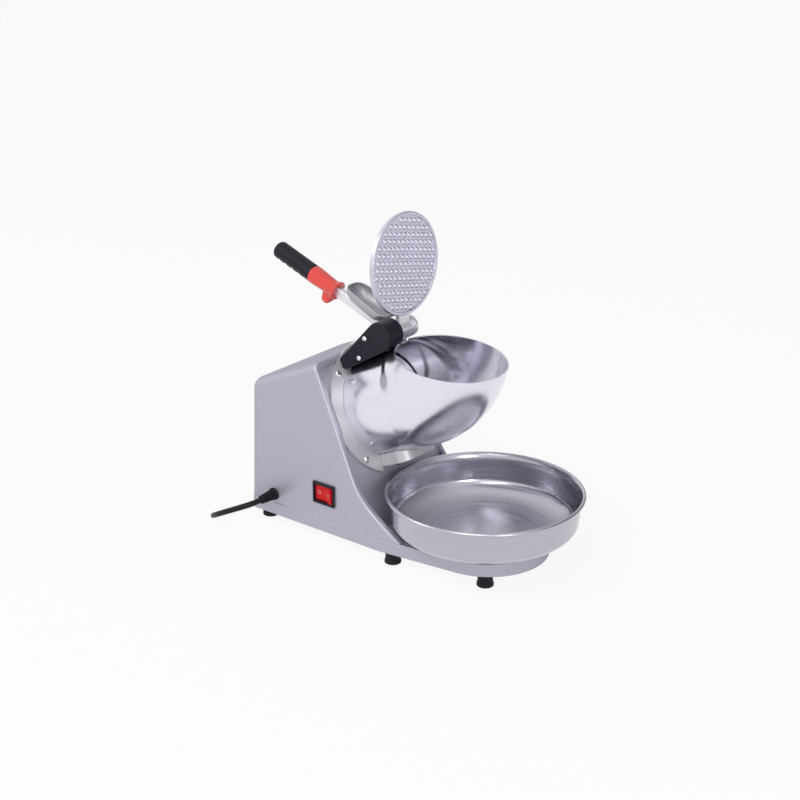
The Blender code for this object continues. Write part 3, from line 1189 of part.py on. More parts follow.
def make_strain_relief():
    root = at(-HOUSING_HALF_WIDTH - GAP, RELIEF_FORWARD, RELIEF_HEIGHT)
    spot = Matrix.Translation(root) @ Matrix.Rotation(-math.pi / 2, 4, "Y")
    profile = [(CORD_RADIUS + GAP, RELIEF_LENGTH), (RELIEF_TIP_RADIUS, RELIEF_LENGTH)]
    step = (RELIEF_LENGTH - 0.004) / RELIEF_RIBS
    for k in range(RELIEF_RIBS):
        top = RELIEF_LENGTH - 0.002 - step * k
        radius = RELIEF_TIP_RADIUS + (RELIEF_ROOT_RADIUS - RELIEF_TIP_RADIUS) * (k + 1) / RELIEF_RIBS
        profile += [(radius - 0.0009, top - step * 0.05), (radius - 0.0009, top - step * 0.35),
                    (radius, top - step * 0.45), (radius, top - step * 0.95)]
    flare = RELIEF_ROOT_RADIUS + 0.001
    profile += [(flare, 0.0018), (flare, 0.0), (CORD_RADIUS + GAP, 0.0)]
    turned("strain_relief", profile, BLACK_RUBBER, spot, 12)


def make_cord():
    exit_x = -HOUSING_HALF_WIDTH - GAP
    inside = at(exit_x + 0.0030, RELIEF_FORWARD, RELIEF_HEIGHT)
    outside = at(exit_x - RELIEF_LENGTH - 0.0010, RELIEF_FORWARD, RELIEF_HEIGHT)
    turns = coil_points()
    joint = Vector((GAP, 0.0, 0.0))
    arrival = turns[0] - joint
    route = [outside] + [at(*point) for point in CORD_ROUTE] + [arrival - 30 * joint, arrival]
    free = [inside] + smooth_route(route, 5.0 * CORD_RADIUS)
    cord_tube("mains_cord", free, 2)
    cord_tube("cord_coil", turns, 1)
    least_gap(turns)
    departure = turns[-1] + joint
    neck = Vector((PLUG_CENTRE_X - PLUG_LENGTH / 2 - PLUG_NECK, departure.y, departure.z)) - joint
    tail = [departure.lerp(neck, share / 3) for share in range(4)]
    cord_tube("plug_lead", tail, 2)
    total = 0.0
    for piece in (free, turns, tail):
        total += sum((b - a).length for a, b in zip(piece, piece[1:]))
    print(f"cord length: {total:.3f} m")


def make_cord_tie():
    """A strap round the coil's turns, on the side away from its two ends."""
    cx, forward = COIL_CENTRE
    slack = 2 * GAP
    innermost = COIL_OUTER - COIL_STEP * COIL_TURNS / 2
    near = forward - innermost + CORD_RADIUS + slack
    far = forward - COIL_OUTER + COIL_STEP / 2 - CORD_RADIUS - slack
    low = FLOOR_GAP - GAP
    high = FLOOR_GAP + COIL_LAYER + 2 * CORD_RADIUS + GAP
    tie = TIE_THICKNESS
    inner = [(far, low), (near, low), (near, high), (far, high)]
    outer = [(far - tie, low - tie), (near + tie, low - tie),
             (near + tie, high + tie), (far - tie, high + tie)]
    strap = side_solid("cord_tie", rounded(outer, [0.0030] * 4, 3), TIE_WIDTH / 2, BLACK_RUBBER, cx)
    room = side_solid("tie_room", rounded(inner, [0.0030 - tie] * 4, 3), TIE_WIDTH, None, cx)
    cut(strap, room)


def make_plug():
    middle = at(PLUG_CENTRE_X, COIL_CENTRE[1] + COIL_OUTER, PLUG_HEIGHT / 2)
    frame = Matrix.Translation(middle) @ ALONG_X
    sections = ((-0.5 * PLUG_LENGTH - PLUG_NECK, CORD_RADIUS + 0.0012, CORD_RADIUS + 0.0012),
                (-0.5 * PLUG_LENGTH, CORD_RADIUS + 0.0030, CORD_RADIUS + 0.0030),
                (-0.5 * PLUG_LENGTH + 0.006, PLUG_HEIGHT / 2 - 0.0005, PLUG_WIDTH / 2 - 0.0010),
                (0.5 * PLUG_LENGTH - 0.001, PLUG_HEIGHT / 2, PLUG_WIDTH / 2),
                (0.5 * PLUG_LENGTH, PLUG_HEIGHT / 2 - 0.001, PLUG_WIDTH / 2 - 0.001))
    rings = []
    for z, half_x, half_y in sections:
        ring = []
        for i in range(20):
            angle = 2 * math.pi * i / 20
            c, s = math.cos(angle), math.sin(angle)
            ring.append(Vector((half_x * math.copysign(abs(c) ** 0.6, c),
                                half_y * math.copysign(abs(s) ** 0.6, s), z)))
        rings.append(ring)
    plug = loft("mains_plug", rings, BLACK_PLASTIC, frame)
    tip = 0.5 * PLUG_LENGTH
    for side in (-1, 1):
        middle = side * PIN_PITCH / 2
        pin = box(f"plug_pin_{side + 2}", (-0.0045, middle - PIN_THICKNESS / 2, tip - 0.002),
                  (0.0018, middle + PIN_THICKNESS / 2, tip + PIN_LENGTH), None, frame)
        cut(plug, pin, operation="UNION")
    earth = cylinder("plug_earth_pin", EARTH_PIN_RADIUS, tip - 0.002, tip + EARTH_PIN_LENGTH, None,
                     frame @ Matrix.Translation((0.0065, 0.0, 0.0)), 16)
    cut(plug, earth, operation="UNION")


def main():
    make_base()
    make_housing()
    make_front_panel()
    make_hopper()
    make_hinge()
    make_hinge_cover()
    make_flange_screws()
    make_press_arm()
    make_collar()
    make_grip()
    make_bar_slots()
    make_scoop()
    make_press_plate()
    make_rotor()
    make_motor()
    make_switch()
    make_bowl()
    make_strain_relief()
    make_cord()
    make_cord_tie()
    make_plug()


main()
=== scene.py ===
"""Looks of an electric ice crusher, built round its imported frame.

Metres, +Z up, the front faces -Y. Every piece is made where it stands in the frame.
"""

import json
import math

import bmesh
import bpy
from mathutils import Matrix, Vector


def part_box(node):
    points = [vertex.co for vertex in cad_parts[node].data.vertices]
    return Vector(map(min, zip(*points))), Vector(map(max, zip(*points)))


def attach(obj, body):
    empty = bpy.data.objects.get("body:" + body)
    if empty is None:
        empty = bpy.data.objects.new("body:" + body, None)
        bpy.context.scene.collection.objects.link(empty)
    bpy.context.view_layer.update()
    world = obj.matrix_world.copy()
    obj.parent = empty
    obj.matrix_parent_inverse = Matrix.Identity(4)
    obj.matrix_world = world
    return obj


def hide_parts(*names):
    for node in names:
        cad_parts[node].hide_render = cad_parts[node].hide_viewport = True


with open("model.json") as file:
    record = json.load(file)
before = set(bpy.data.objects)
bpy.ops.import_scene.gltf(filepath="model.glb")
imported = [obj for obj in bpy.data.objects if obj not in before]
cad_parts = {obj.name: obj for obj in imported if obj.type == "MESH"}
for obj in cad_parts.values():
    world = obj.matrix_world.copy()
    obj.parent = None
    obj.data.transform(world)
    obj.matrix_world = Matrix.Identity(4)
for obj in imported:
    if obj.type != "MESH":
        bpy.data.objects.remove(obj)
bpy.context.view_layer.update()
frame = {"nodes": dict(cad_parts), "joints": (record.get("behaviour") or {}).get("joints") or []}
NODES = frame["nodes"]
JOINTS = {joint["name"]: joint for joint in frame["joints"]}

GAP = 0.0003                 # between two pieces that rest on or in each other

# Camera at the photograph's viewing angle
CAMERA_PLACE = (-1.3422, -1.0423, 0.8311)
CAMERA_TARGET = (0.0, 0.0238, 0.159)
CAMERA_LENS = 75.16

# Studio: white all round, with a dark screen to the right; tones by how far a ray heads towards the screen
WORLD_STRENGTH = 0.72
SCREEN_DIRECTION = (0.84, -0.52, 0.12)
STUDIO_TONES = ((0.0, (1.0, 1.0, 1.0)), (0.64, (1.0, 1.0, 1.0)), (0.76, (0.78, 0.77, 0.80)),
                (0.88, (0.44, 0.43, 0.45)), (1.0, (0.26, 0.25, 0.26)))
WHITE = (1.0, 1.0, 1.0, 1.0)
FLOOR_REACH = 6.0
FLOOR_TONE = (0.80, 0.80, 0.81, 1.0)
FLOOR_WHITENESS = 0.88       # how far the floor that is seen directly goes to the white of the backdrop

# Lights as place, size and power
LIGHTS = {"key_light": ((-1.5, -0.5, 1.9), 1.4, 14.0),
          "edge_light": ((-1.0, -1.64, 0.66), 0.45, 7.0),
          "rear_light": ((-1.1, 1.2, 1.4), 0.7, 7.0)}

# Base tray and feet
BASE_HALF_WIDTH = 0.0794
BASE_REAR_CORNER = 0.009
TAPER_START = 0.1905         # distance forward from the rear of the base
NOSE_RADIUS = 0.0685
NOSE_CENTRE = 0.2775
FOOT_HEIGHT = 0.0144
DECK_TOP = 0.0292
TRAY_WALL = 0.003
TRAY_TOP_EDGE = 0.0010
FOOT_BOTTOM_RADIUS = 0.0095
FOOT_TOP_RADIUS = 0.0082

# Housing, laid out from the leaning blade axis
AXIS_FORWARD = 0.1257
AXIS_HEIGHT = 0.1462
FRONT_LEAN = math.radians(23.5)
HOUSING_HALF_WIDTH = 0.0790
HOUSING_TOP = 0.0701
HOUSING_WALL = 0.0032
HOUSING_EDGE = 0.010
HOUSING_REAR_DRAFT = math.radians(2.4)
LIP_WIDTH = 0.0070
LIP_DEPTH = 0.0050
LIP_RISE = 0.0020
LIP_EDGE = 0.0034
LIP_CORNER = 0.006
LIP_BEND_BELOW_AXIS = 0.0841
LIP_BEND_RADIUS = 0.075
LIP_TOE = 0.2170

# Flange, hopper and outlet hood
FLANGE_RADIUS = 0.076
FLANGE_THICKNESS = 0.0037
FLANGE_FRONT = GAP + FLANGE_THICKNESS
NOTCH_HALF_WIDTH = 0.0290
NOTCH_TOP_BELOW = 0.0603
FLANGE_SCREW_CIRCLE = 0.0700
FLANGE_SCREW_RADIUS = 0.0019
FLANGE_SCREW_LENGTH = 0.0070
FLANGE_BORE = 0.0052
HOPPER_WALL = 0.0016
HOPPER_ROOT_RADIUS = 0.0585
HOPPER_MOUTH_RADIUS = 0.0617
HOPPER_SWELL = 0.45          # share of the bend over which the hopper widens
HUB_ROOM_RADIUS = 0.0215
HUB_ROOM_HALF_WIDTH = 0.013
MOUTH_FORWARD = 0.2265
MOUTH_HEIGHT = 0.2237
MOUTH_TILT = math.radians(7.25)
OUTLET_HALF_WIDTH = 0.026
OUTLET_DEEP = 0.0155
HOOD_HALF_WIDTH = 0.0286
HOOD_REACH = 0.0415
HOOD_CORNER = 0.015
HOOD_BELOW_AXIS = 0.0645
HOOD_WALL = 0.0016

# Hinge of the press
HINGE_FORWARD = 0.1580
HINGE_HEIGHT = 0.2430
PIN_RADIUS = 0.004
HUB_RADIUS = 0.009
HUB_HALF_WIDTH = 0.0117
CHEEK_INNER = 0.0120
CHEEK_OUTER = 0.0160
CHEEK_RADIUS = 0.012
BRACKET_FOOT_BELOW = 0.010
BRACKET_FOOT_RADIUS = 0.0095
BRACKET_BASE = 0.005
STOP_START = 0.0150
STOP_END = 0.0200
STOP_DEPTH = 0.0055
COVER_INNER = 0.0163
COVER_OUTER = 0.0398
COVER_RADIUS = 0.016
COVER_FOOT_RADIUS = 0.0075
COVER_WALL = 0.0022
COVER_CLEARANCE = 0.0007
COVER_FOOT = (0.1105, 0.2035)
COVER_SCREWS = ((0.1395, 0.2378), (0.1312, 0.2137))
COVER_SCREW_RADIUS = 0.0014
COVER_SCREW_LENGTH = 0.006

# Press lever
LEVER_RISE = math.radians(21.2)
BAR_WIDTH = 0.008
BAR_HEIGHT = 0.011
BAR_DROP = 0.0100
BAR_BOTTOM = -BAR_DROP - BAR_HEIGHT / 2
BAR_TOP = -BAR_DROP + BAR_HEIGHT / 2
BAR_END = 0.172
COLLAR_START = 0.0915
COLLAR_END = 0.1305
COLLAR_RADIUS = 0.0097
COLLAR_WAIST_RADIUS = 0.0086
COLLAR_FLARE_RADIUS = 0.0106
COLLAR_POWER = 1 / 1.3       # of its section, 1 is round and less is squarer
SPUR_PLACE = 0.1025
SPUR_HALF_LENGTH = 0.0052
SPUR_HALF_WIDTH = 0.0045
SPUR_DROP = 0.0306
GRIP_END = 0.1870
GRIP_RADIUS = 0.0101
GRIP_END_ROUNDING = 0.0055
GRIP_GROOVES = 5
GRIP_GROOVE_DEPTH = 0.0013
GRIP_START_STEP = 0.0008
SCOOP_START = 0.0150
SCOOP_END = 0.0780
SCOOP_WIDE = 0.0215
SCOOP_NARROW = 0.0140
SCOOP_RIM = 0.0100
SCOOP_WALL = 0.0016
SCOOP_WIDE_CORNER = 0.009
SCOOP_NARROW_CORNER = 0.0125
SCOOP_FLOOR = 0.45           # the size of its floor as a share of its rim's

# Press plate
PLATE_LEAN = math.radians(3.08)
PLATE_DISTANCE = 0.0732
PLATE_OFFSET = 0.0085
PLATE_RADIUS = 0.0562
PLATE_THICKNESS = 0.005
PLATE_RIM = 0.0038
PLATE_RECESS = 0.0012
STUD_PITCH = 0.0078
STUD_WIDTH = 0.0062
STUD_TIP = 0.0022
STUD_HEIGHT = 0.0030
STUD_TURN = math.radians(-12.7)
NECK_WIDTH = 0.018
NECK_LENGTH = 0.040
NECK_THICKNESS = 0.006
NECK_FRONT = -PLATE_OFFSET + PLATE_THICKNESS / 2 + GAP
PLATE_BOLT_RADIUS = 0.0016
PLATE_BOLT_EDGE = 0.011
PLATE_BOLT_PITCH = 0.008
PLATE_BOLT_HOLD = 0.0024     # in the plate behind its neck

# Blades in front of the disc
DISC_FRONT = 0.0195
BLADE_RADIUS_AT = 0.033
BLADE_THICKNESS = 0.0012
BLADE_SCREW_RADIUS = 0.0010
BLADE_SCREW_LENGTH = 0.0040
BLADE_SCREW_SPREAD = 0.0125
BLADE_SCREW_OFFSET = -0.0035

# Rocker switch
SWITCH_FORWARD = 0.1127
SWITCH_HEIGHT = 0.0611
SWITCH_LENGTH = 0.0310
SWITCH_WIDTH = 0.0256
SWITCH_BEZEL = 0.0022
SWITCH_BODY_LENGTH = 0.0276
SWITCH_BODY_WIDTH = 0.0218
SWITCH_BODY_DEPTH = 0.018
ROCKER_LENGTH = 0.0246
ROCKER_WIDTH = 0.0190
ROCKER_TILT = math.radians(9.0)
ROCKER_PIVOT = 0.0030
ROCKER_DISH = 0.0022
ROCKER_CREST = 0.0050
ROCKER_END_ROOM = 0.0012
ROCKER_SIDE_ROOM = 0.0004
SWITCH_WELL_DEPTH = 0.0085
MARK_PLACE = 0.6             # share of the rocker's half length
MARK_RADIUS = 0.0021
MARK_LINE = 0.0005
MARK_RISE = 0.00012
MARK_SINK = 0.0002

# Bowl
BOWL_CENTRE = 0.2739
BOWL_RIM_RADIUS = 0.1087
BOWL_RIM_HEIGHT = 0.0828
BOWL_RIM_ROLL = 0.0022
BOWL_WALL = 0.0012
BOWL_WALL_RADIUS = 0.1020
BOWL_NECK_RADIUS = 0.1032
BOWL_SHOULDER_HEIGHT = 0.0530
BOWL_SEAT_RADIUS = 0.036

# Mains cord, strain relief and plug
CORD_RADIUS = 0.00325
RELIEF_FORWARD = 0.0370
RELIEF_HEIGHT = 0.0400
RELIEF_LENGTH = 0.0220
RELIEF_ROOT_RADIUS = 0.0062
RELIEF_TIP_RADIUS = 0.0049
RELIEF_RIBS = 6
RELIEF_GROOVE = 0.0014
CORD_ROUTE = (
    (-0.1115, 0.0354, 0.0394), (-0.1195, 0.0309, 0.0378), (-0.1284, 0.0203, 0.0335),
    (-0.1325, 0.0077, 0.0276), (-0.1311, -0.0050, 0.0207), (-0.1246, -0.0161, 0.0140),
    (-0.1138, -0.0239, 0.0084), (-0.1002, -0.0274, 0.0047), (-0.0858, -0.0260, 0.0035),
    (-0.0701, -0.0218, 0.0035), (-0.0533, -0.0184, 0.0035), (-0.0300, -0.0140, 0.0035),
    (-0.0050, -0.0105, 0.0035), (0.0200, -0.0088, 0.0036), (0.0450, -0.0074, 0.0041),
)
FLOOR_GAP = 0.0011
COIL_CENTRE = (0.0840, -0.0505)
COIL_OUTER = 0.0440
COIL_TURNS = 5
COIL_STEP = 0.0070
COIL_LAYER = 0.0070
COIL_POINTS = 48
COIL_ENTRY = 0.0093          # straight cord in front of the coil
PLUG_CENTRE_X = 0.1330
PLUG_LENGTH = 0.036
PLUG_WIDTH = 0.024
PLUG_HEIGHT = 2 * (CORD_RADIUS + FLOOR_GAP + COIL_LAYER)
PLUG_NECK = 0.012
PLUG_NECK_WALL = 0.0012
PLUG_NECK_SWELL = 0.0018
PLUG_NECK_RIBS = 5
PLUG_RIB_DEPTH = 0.0006
PLUG_SHOULDER = 0.008
PLUG_POWER = 0.6             # of its section, 1 is round and less is squarer
PIN_PITCH = 0.0127
PIN_THICKNESS = 0.0016
PIN_LENGTH = 0.016
EARTH_PIN_RADIUS = 0.0024
EARTH_PIN_LENGTH = 0.019

HINGE = Vector(JOINTS["press_hinge"]["pos_m"])
Y_OF_REAR = HINGE.y + HINGE_FORWARD


def at(x, forward, height):
    """A point from its distance forward of the base's rear edge."""
    return Vector((x, Y_OF_REAR - forward, height))


# Frames in which the pieces are laid out
AXIS_FRAME = (Matrix.Translation(at(0.0, AXIS_FORWARD, AXIS_HEIGHT))
              @ Matrix.Rotation(math.pi / 2 - FRONT_LEAN, 4, "X"))
LEVER_FRAME = Matrix.Translation(HINGE) @ Matrix.Rotation(LEVER_RISE, 4, "X")
PLATE_FRAME = Matrix.Translation(HINGE) @ Matrix.Rotation(-PLATE_LEAN, 4, "X")
HINGE_FRAME = Matrix.Translation(HINGE)
SWITCH_FRAME = Matrix.Translation(at(-HOUSING_HALF_WIDTH, SWITCH_FORWARD, SWITCH_HEIGHT))
SIDE_FRAME = Matrix(((0, 0, -1, 0), (-1, 0, 0, Y_OF_REAR), (0, 1, 0, 0), (0, 0, 0, 1)))
ALONG_X = Matrix.Rotation(math.pi / 2, 4, "Y")
AGAINST_X = Matrix.Rotation(-math.pi / 2, 4, "Y")


# Shader helpers

def add_node(tree, kind, inputs=None, **settings):
    """A shader node; another node's output given for an input is linked, and a plain value is stored."""
    node = tree.nodes.new("ShaderNode" + kind)
    for name, value in settings.items():
        setattr(node, name, value)
    for key, value in (inputs or {}).items():
        if isinstance(value, bpy.types.NodeSocket):
            tree.links.new(value, node.inputs[key])
        else:
            node.inputs[key].default_value = value
    return node


def noise(tree, scale, detail=3.0, stretch=(1.0, 1.0, 1.0)):
    """A noise that is fixed to the piece; stretch packs it along an axis."""
    place = add_node(tree, "TexCoord")
    mapping = add_node(tree, "Mapping", {"Vector": place.outputs["Object"], "Scale": stretch})
    texture = add_node(tree, "TexNoise", {"Vector": mapping.outputs["Vector"], "Scale": scale,
                                          "Detail": detail})
    return texture.outputs["Fac"]


def ramp(tree, source, stops):
    """Colours along a value, from (position, colour) pairs."""
    node = add_node(tree, "ValToRGB", {"Fac": source})
    elements = node.color_ramp.elements
    for position, colour in stops[1:-1]:
        elements.new(position).color = (*colour, 1.0)
    for element, (position, colour) in ((elements[0], stops[0]), (elements[-1], stops[-1])):
        element.position = position
        element.color = (*colour, 1.0)
    return node.outputs["Color"]


def surface(name, colour, metallic, roughness, tones, grain, gloss=None, bump=None, width=0.25, **sockets):
    """A material whose colour, roughness and relief vary.

    The roughness goes from low to high with the noise gloss, and the colour between two factors of itself
    with the noise grain, over width of its range. Noises are (scale, detail, stretch), and bump is a
    strength, a distance and a noise.
    """
    material = bpy.data.materials.new(name)
    material.use_nodes = True
    tree = material.node_tree
    shader = tree.nodes["Principled BSDF"].inputs
    shader["Base Color"].default_value = (*colour, 1.0)
    shader["Metallic"].default_value = metallic
    shader["Roughness"].default_value = sum(roughness) / 2
    for socket, value in sockets.items():
        shader[socket.replace("_", " ")].default_value = value
    dark, pale = ([min(1.0, channel * factor) for channel in colour] for factor in tones)
    shade = ramp(tree, noise(tree, *grain), ((0.5 - width, dark), (0.5 + width, pale)))
    tree.links.new(shade, shader["Base Color"])
    if gloss:
        spread = add_node(tree, "MapRange", {"Value": noise(tree, *gloss), "From Min": 0.3, "From Max": 0.7,
                                             "To Min": roughness[0], "To Max": roughness[1]})
        tree.links.new(spread.outputs["Result"], shader["Roughness"])
    if bump:
        strength, distance, relief = bump
        bumps = add_node(tree, "Bump", {"Strength": strength, "Distance": distance,
                                        "Height": noise(tree, *relief)})
        tree.links.new(bumps.outputs["Normal"], shader["Normal"])
    return material


# Paints and metals

SILVER_PAINT = surface(
    "silver_paint", (0.440, 0.436, 0.508), 0.55, (0.36, 0.44), (0.93, 1.07), grain=(2400.0, 2.0),
    gloss=(60.0,), bump=(0.06, 0.0002, (700.0, 2.0)), width=0.2, Specular_IOR_Level=0.0,
    Specular_Tint=(0.62, 0.62, 0.68, 1.0))
STREAKS = (26.0, 5.0, (1.0, 1.0, 9.0))
POLISHED_ALUMINIUM = surface(
    "polished_aluminium", (0.79, 0.78, 0.85), 1.0, (0.17, 0.24), (0.965, 1.02), grain=STREAKS,
    gloss=STREAKS, bump=(0.05, 0.0010, (24.0, 2.0, (1.0, 1.0, 2.0))))
STUD_METAL = surface(
    "studded_aluminium", (0.60, 0.595, 0.70), 0.85, (0.30, 0.38), (0.95, 1.04), grain=(90.0,),
    gloss=(200.0,), bump=(0.02, 0.0001, (260.0,)))
CAST_ALUMINIUM = surface(
    "cast_aluminium", (0.80, 0.79, 0.83), 0.75, (0.33, 0.43), (0.94, 1.04), grain=(120.0, 6.0),
    gloss=(200.0,), bump=(0.12, 0.0002, (700.0,)))
ROUGH_CASTING = surface(
    "rough_casting", (0.44, 0.435, 0.46), 0.75, (0.40, 0.54), (0.84, 1.12), grain=(500.0, 5.0),
    gloss=(260.0,), bump=(0.30, 0.0003, (900.0,)))
ROLLING = (40.0, 4.0, (30.0, 1.0, 1.0))
SHEET_ALUMINIUM = surface(
    "sheet_aluminium", (0.58, 0.57, 0.60), 0.50, (0.38, 0.47), (0.94, 1.05), grain=ROLLING, gloss=ROLLING,
    bump=(0.06, 0.0001, (1200.0,)))
BRUSHING = (12.0, 4.0, (1.0, 1.0, 110.0))
STAINLESS = surface(
    "stainless", (0.49, 0.48, 0.535), 1.0, (0.18, 0.28), (0.95, 1.05), grain=BRUSHING, gloss=BRUSHING,
    bump=(0.05, 0.0001, BRUSHING))
STEEL = surface(
    "steel", (0.72, 0.72, 0.75), 1.0, (0.16, 0.24), (0.96, 1.03), grain=(150.0,), gloss=(120.0,))
LAYERS = (20.0, 3.0, (1.0, 40.0, 20.0))
MOTOR_STEEL = surface(
    "motor_steel", (0.30, 0.30, 0.32), 0.9, (0.38, 0.52), (0.80, 1.15), grain=LAYERS, gloss=LAYERS)

# Plastics, rubber and print

BLACK_PLASTIC = surface(
    "black_plastic", (0.013, 0.012, 0.020), 0.0, (0.34, 0.46), (0.85, 1.2), grain=(200.0,), gloss=(90.0,),
    bump=(0.18, 0.0002, (1400.0, 2.0)), Specular_IOR_Level=0.18)
RED_PLASTIC = surface(
    "red_plastic", (0.70, 0.030, 0.018), 0.0, (0.18, 0.27), (0.90, 1.10), grain=(70.0,), gloss=(150.0,),
    Coat_Weight=0.7, Coat_Roughness=0.12)
ROCKER_RED = surface(
    "rocker_red", (0.56, 0.006, 0.008), 0.0, (0.34, 0.34), (0.88, 1.12), grain=(130.0,),
    Specular_IOR_Level=0.2, Subsurface_Weight=0.25, Subsurface_Scale=0.004)
BLACK_RUBBER = surface(
    "black_rubber", (0.010, 0.010, 0.014), 0.0, (0.52, 0.70), (0.8, 1.3), grain=(150.0,), gloss=(300.0,),
    bump=(0.20, 0.0002, (1100.0,)), Specular_IOR_Level=0.18)
CORD_SHEATH = surface(
    "cord_sheath", (0.009, 0.009, 0.013), 0.0, (0.30, 0.42), (0.8, 1.3), grain=(200.0,), gloss=(120.0,),
    bump=(0.08, 0.0001, (1500.0, 1.0)), Specular_IOR_Level=0.18)
WHITE_PRINT = surface(
    "white_print", (0.62, 0.50, 0.50), 0.0, (0.45, 0.45), (0.92, 1.04), grain=(900.0,))


# Modelling helpers

def link(obj):
    bpy.context.scene.collection.objects.link(obj)
    return obj


def as_object(name, bm):
    bmesh.ops.recalc_face_normals(bm, faces=bm.faces)
    mesh = bpy.data.meshes.new(name)
    bm.to_mesh(mesh)
    bm.free()
    return link(bpy.data.objects.new(name, mesh))


def settle(obj):
    """Apply an object's modifiers to its mesh."""
    depsgraph = bpy.context.evaluated_depsgraph_get()
    mesh = bpy.data.meshes.new_from_object(obj.evaluated_get(depsgraph))
    obj.modifiers.clear()
    spent = obj.data
    obj.data = mesh
    bpy.data.meshes.remove(spent)


def cut(obj, *cutters, operation="DIFFERENCE", folded=False):
    """Cut or join solids; folded is for one whose tight inner side may cross itself."""
    for cutter in cutters:
        modifier = obj.modifiers.new("cut", "BOOLEAN")
        modifier.operation = operation
        modifier.use_self = folded
        modifier.object = cutter
    settle(obj)
    for cutter in cutters:
        spent = cutter.data
        bpy.data.objects.remove(cutter)
        bpy.data.meshes.remove(spent)


def round_edges(obj, width, segments=3, wanted=None, angle=math.radians(40)):
    """Round the sharp edges of a mesh, or those of them that wanted picks."""
    bm = bmesh.new()
    bm.from_mesh(obj.data)
    bmesh.ops.remove_doubles(bm, verts=bm.verts, dist=0.000002)
    edges = [edge for edge in bm.edges
             if len(edge.link_faces) == 2 and edge.calc_face_angle(0.0) > angle
             and (wanted is None or wanted(edge))]
    bmesh.ops.bevel(bm, geom=edges, offset=width, segments=segments, profile=0.5, affect="EDGES",
                    clamp_overlap=True)
    bm.to_mesh(obj.data)
    bm.free()


def show(obj, material, body, *nodes, angle=math.radians(32)):
    """Finish a piece: its shading, its material, what carries it and what it stands for."""
    obj.data.materials.clear()
    obj.data.materials.append(material)
    obj.data.shade_smooth()
    obj.data.set_sharp_from_angle(angle=angle)
    normals = obj.modifiers.new("normals", "WEIGHTED_NORMAL")
    normals.keep_sharp = True
    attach(obj, body)
    if nodes:
        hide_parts(*nodes)
    return obj


def skin(bm, rings, capped=True):
    """Faces over a row of rings, each one with the same number of points."""
    rows = [[bm.verts.new(point) for point in ring] for ring in rings]
    count = len(rows[0])
    for lower, upper in zip(rows, rows[1:]):
        for i in range(count):
            j = (i + 1) % count
            bm.faces.new((lower[i], lower[j], upper[j], upper[i]))
    if capped:
        bm.faces.new(rows[0][::-1])
        bm.faces.new(rows[-1])


def loft(name, rings, capped=True):
    bm = bmesh.new()
    skin(bm, rings, capped)
    return as_object(name, bm)


def prism(name, outline, low, high, place=Matrix()):
    """Extrude an outline in the frame's XY plane from low to high along its Z."""
    rings = [[place @ Vector((x, y, z)) for x, y in outline] for z in (low, high)]
    return loft(name, rings)


def box(name, low, high, place=Matrix()):
    outline = [(low[0], low[1]), (high[0], low[1]), (high[0], high[1]), (low[0], high[1])]
    return prism(name, outline, low[2], high[2], place)


def slab(name, half_width, along, up, place=Matrix()):
    """A box that reaches as far to the left as to the right, between two values along Y and two up Z."""
    return box(name, (-half_width, along[0], up[0]), (half_width, along[1], up[1]), place)


def circle(radius, sides):
    return [(radius * math.cos(2 * math.pi * i / sides), radius * math.sin(2 * math.pi * i / sides))
            for i in range(sides)]


def squared_circle(half_x, half_y, sides, power):
    """A circle that is swollen towards its corners, the more the lower the power."""
    return [(half_x * math.copysign(abs(x) ** power, x), half_y * math.copysign(abs(y) ** power, y))
            for x, y in circle(1.0, sides)]


def quarter_turn(steps=12):
    """Angles from 0 to a right angle."""
    return [math.pi / 2 * k / steps for k in range(steps + 1)]


def eased(share):
    """A share of a way that starts and ends gently."""
    return share * share * (3 - 2 * share)


def rod(name, radius, low, high, place=Matrix(), sides=64):
    return prism(name, circle(radius, sides), low, high, place)


def turned(name, profile, place=Matrix(), sides=64, closed=False):
    """Turn (radius, height) points about the frame's Z."""
    bm = bmesh.new()
    rings = []
    for radius, height in profile:
        if radius < 0.000001:
            rings.append([bm.verts.new(place @ Vector((0.0, 0.0, height)))])
        else:
            rings.append([bm.verts.new(place @ Vector((x, y, height))) for x, y in circle(radius, sides)])
    pairs = list(zip(rings, rings[1:]))
    if closed:
        pairs.append((rings[-1], rings[0]))
    for a, b in pairs:
        for i in range(sides):
            j = (i + 1) % sides
            corners = (a[i % len(a)], a[j % len(a)], b[j % len(b)], b[i % len(b)])
            bm.faces.new(list(dict.fromkeys(corners)))
    return as_object(name, bm)


def rounded(corners, radii, steps=10, closed=True):
    """An outline through corners, each one rounded by an arc of its own radius."""
    points = []
    count = len(corners)
    for i, (corner, radius) in enumerate(zip(corners, radii)):
        here = Vector(corner)
        if radius == 0 or (not closed and i in (0, count - 1)):
            points.append(tuple(here))
            continue
        before = (Vector(corners[i - 1]) - here).normalized()
        after = (Vector(corners[(i + 1) % count]) - here).normalized()
        half = before.angle(after) / 2
        middle = here + (before + after).normalized() * radius / math.sin(half)
        start = here + before * radius / math.tan(half) - middle
        end = here + after * radius / math.tan(half) - middle
        turn = start.angle_signed(end)
        for k in range(steps + 1):
            points.append(tuple(middle + Matrix.Rotation(-turn * k / steps, 2) @ start))
    return points


# Camera

def aim(obj, place):
    """Stand a camera or a light at a place and turn it to the object."""
    obj.location = place
    heading = Vector(CAMERA_TARGET) - Vector(place)
    obj.rotation_euler = heading.to_track_quat("-Z", "Y").to_euler()


def make_camera():
    data = bpy.data.cameras.new("camera")
    data.lens = CAMERA_LENS
    camera = link(bpy.data.objects.new("camera", data))
    aim(camera, CAMERA_PLACE)
    bpy.context.scene.camera = camera


# Strain relief, cord, coil and plug

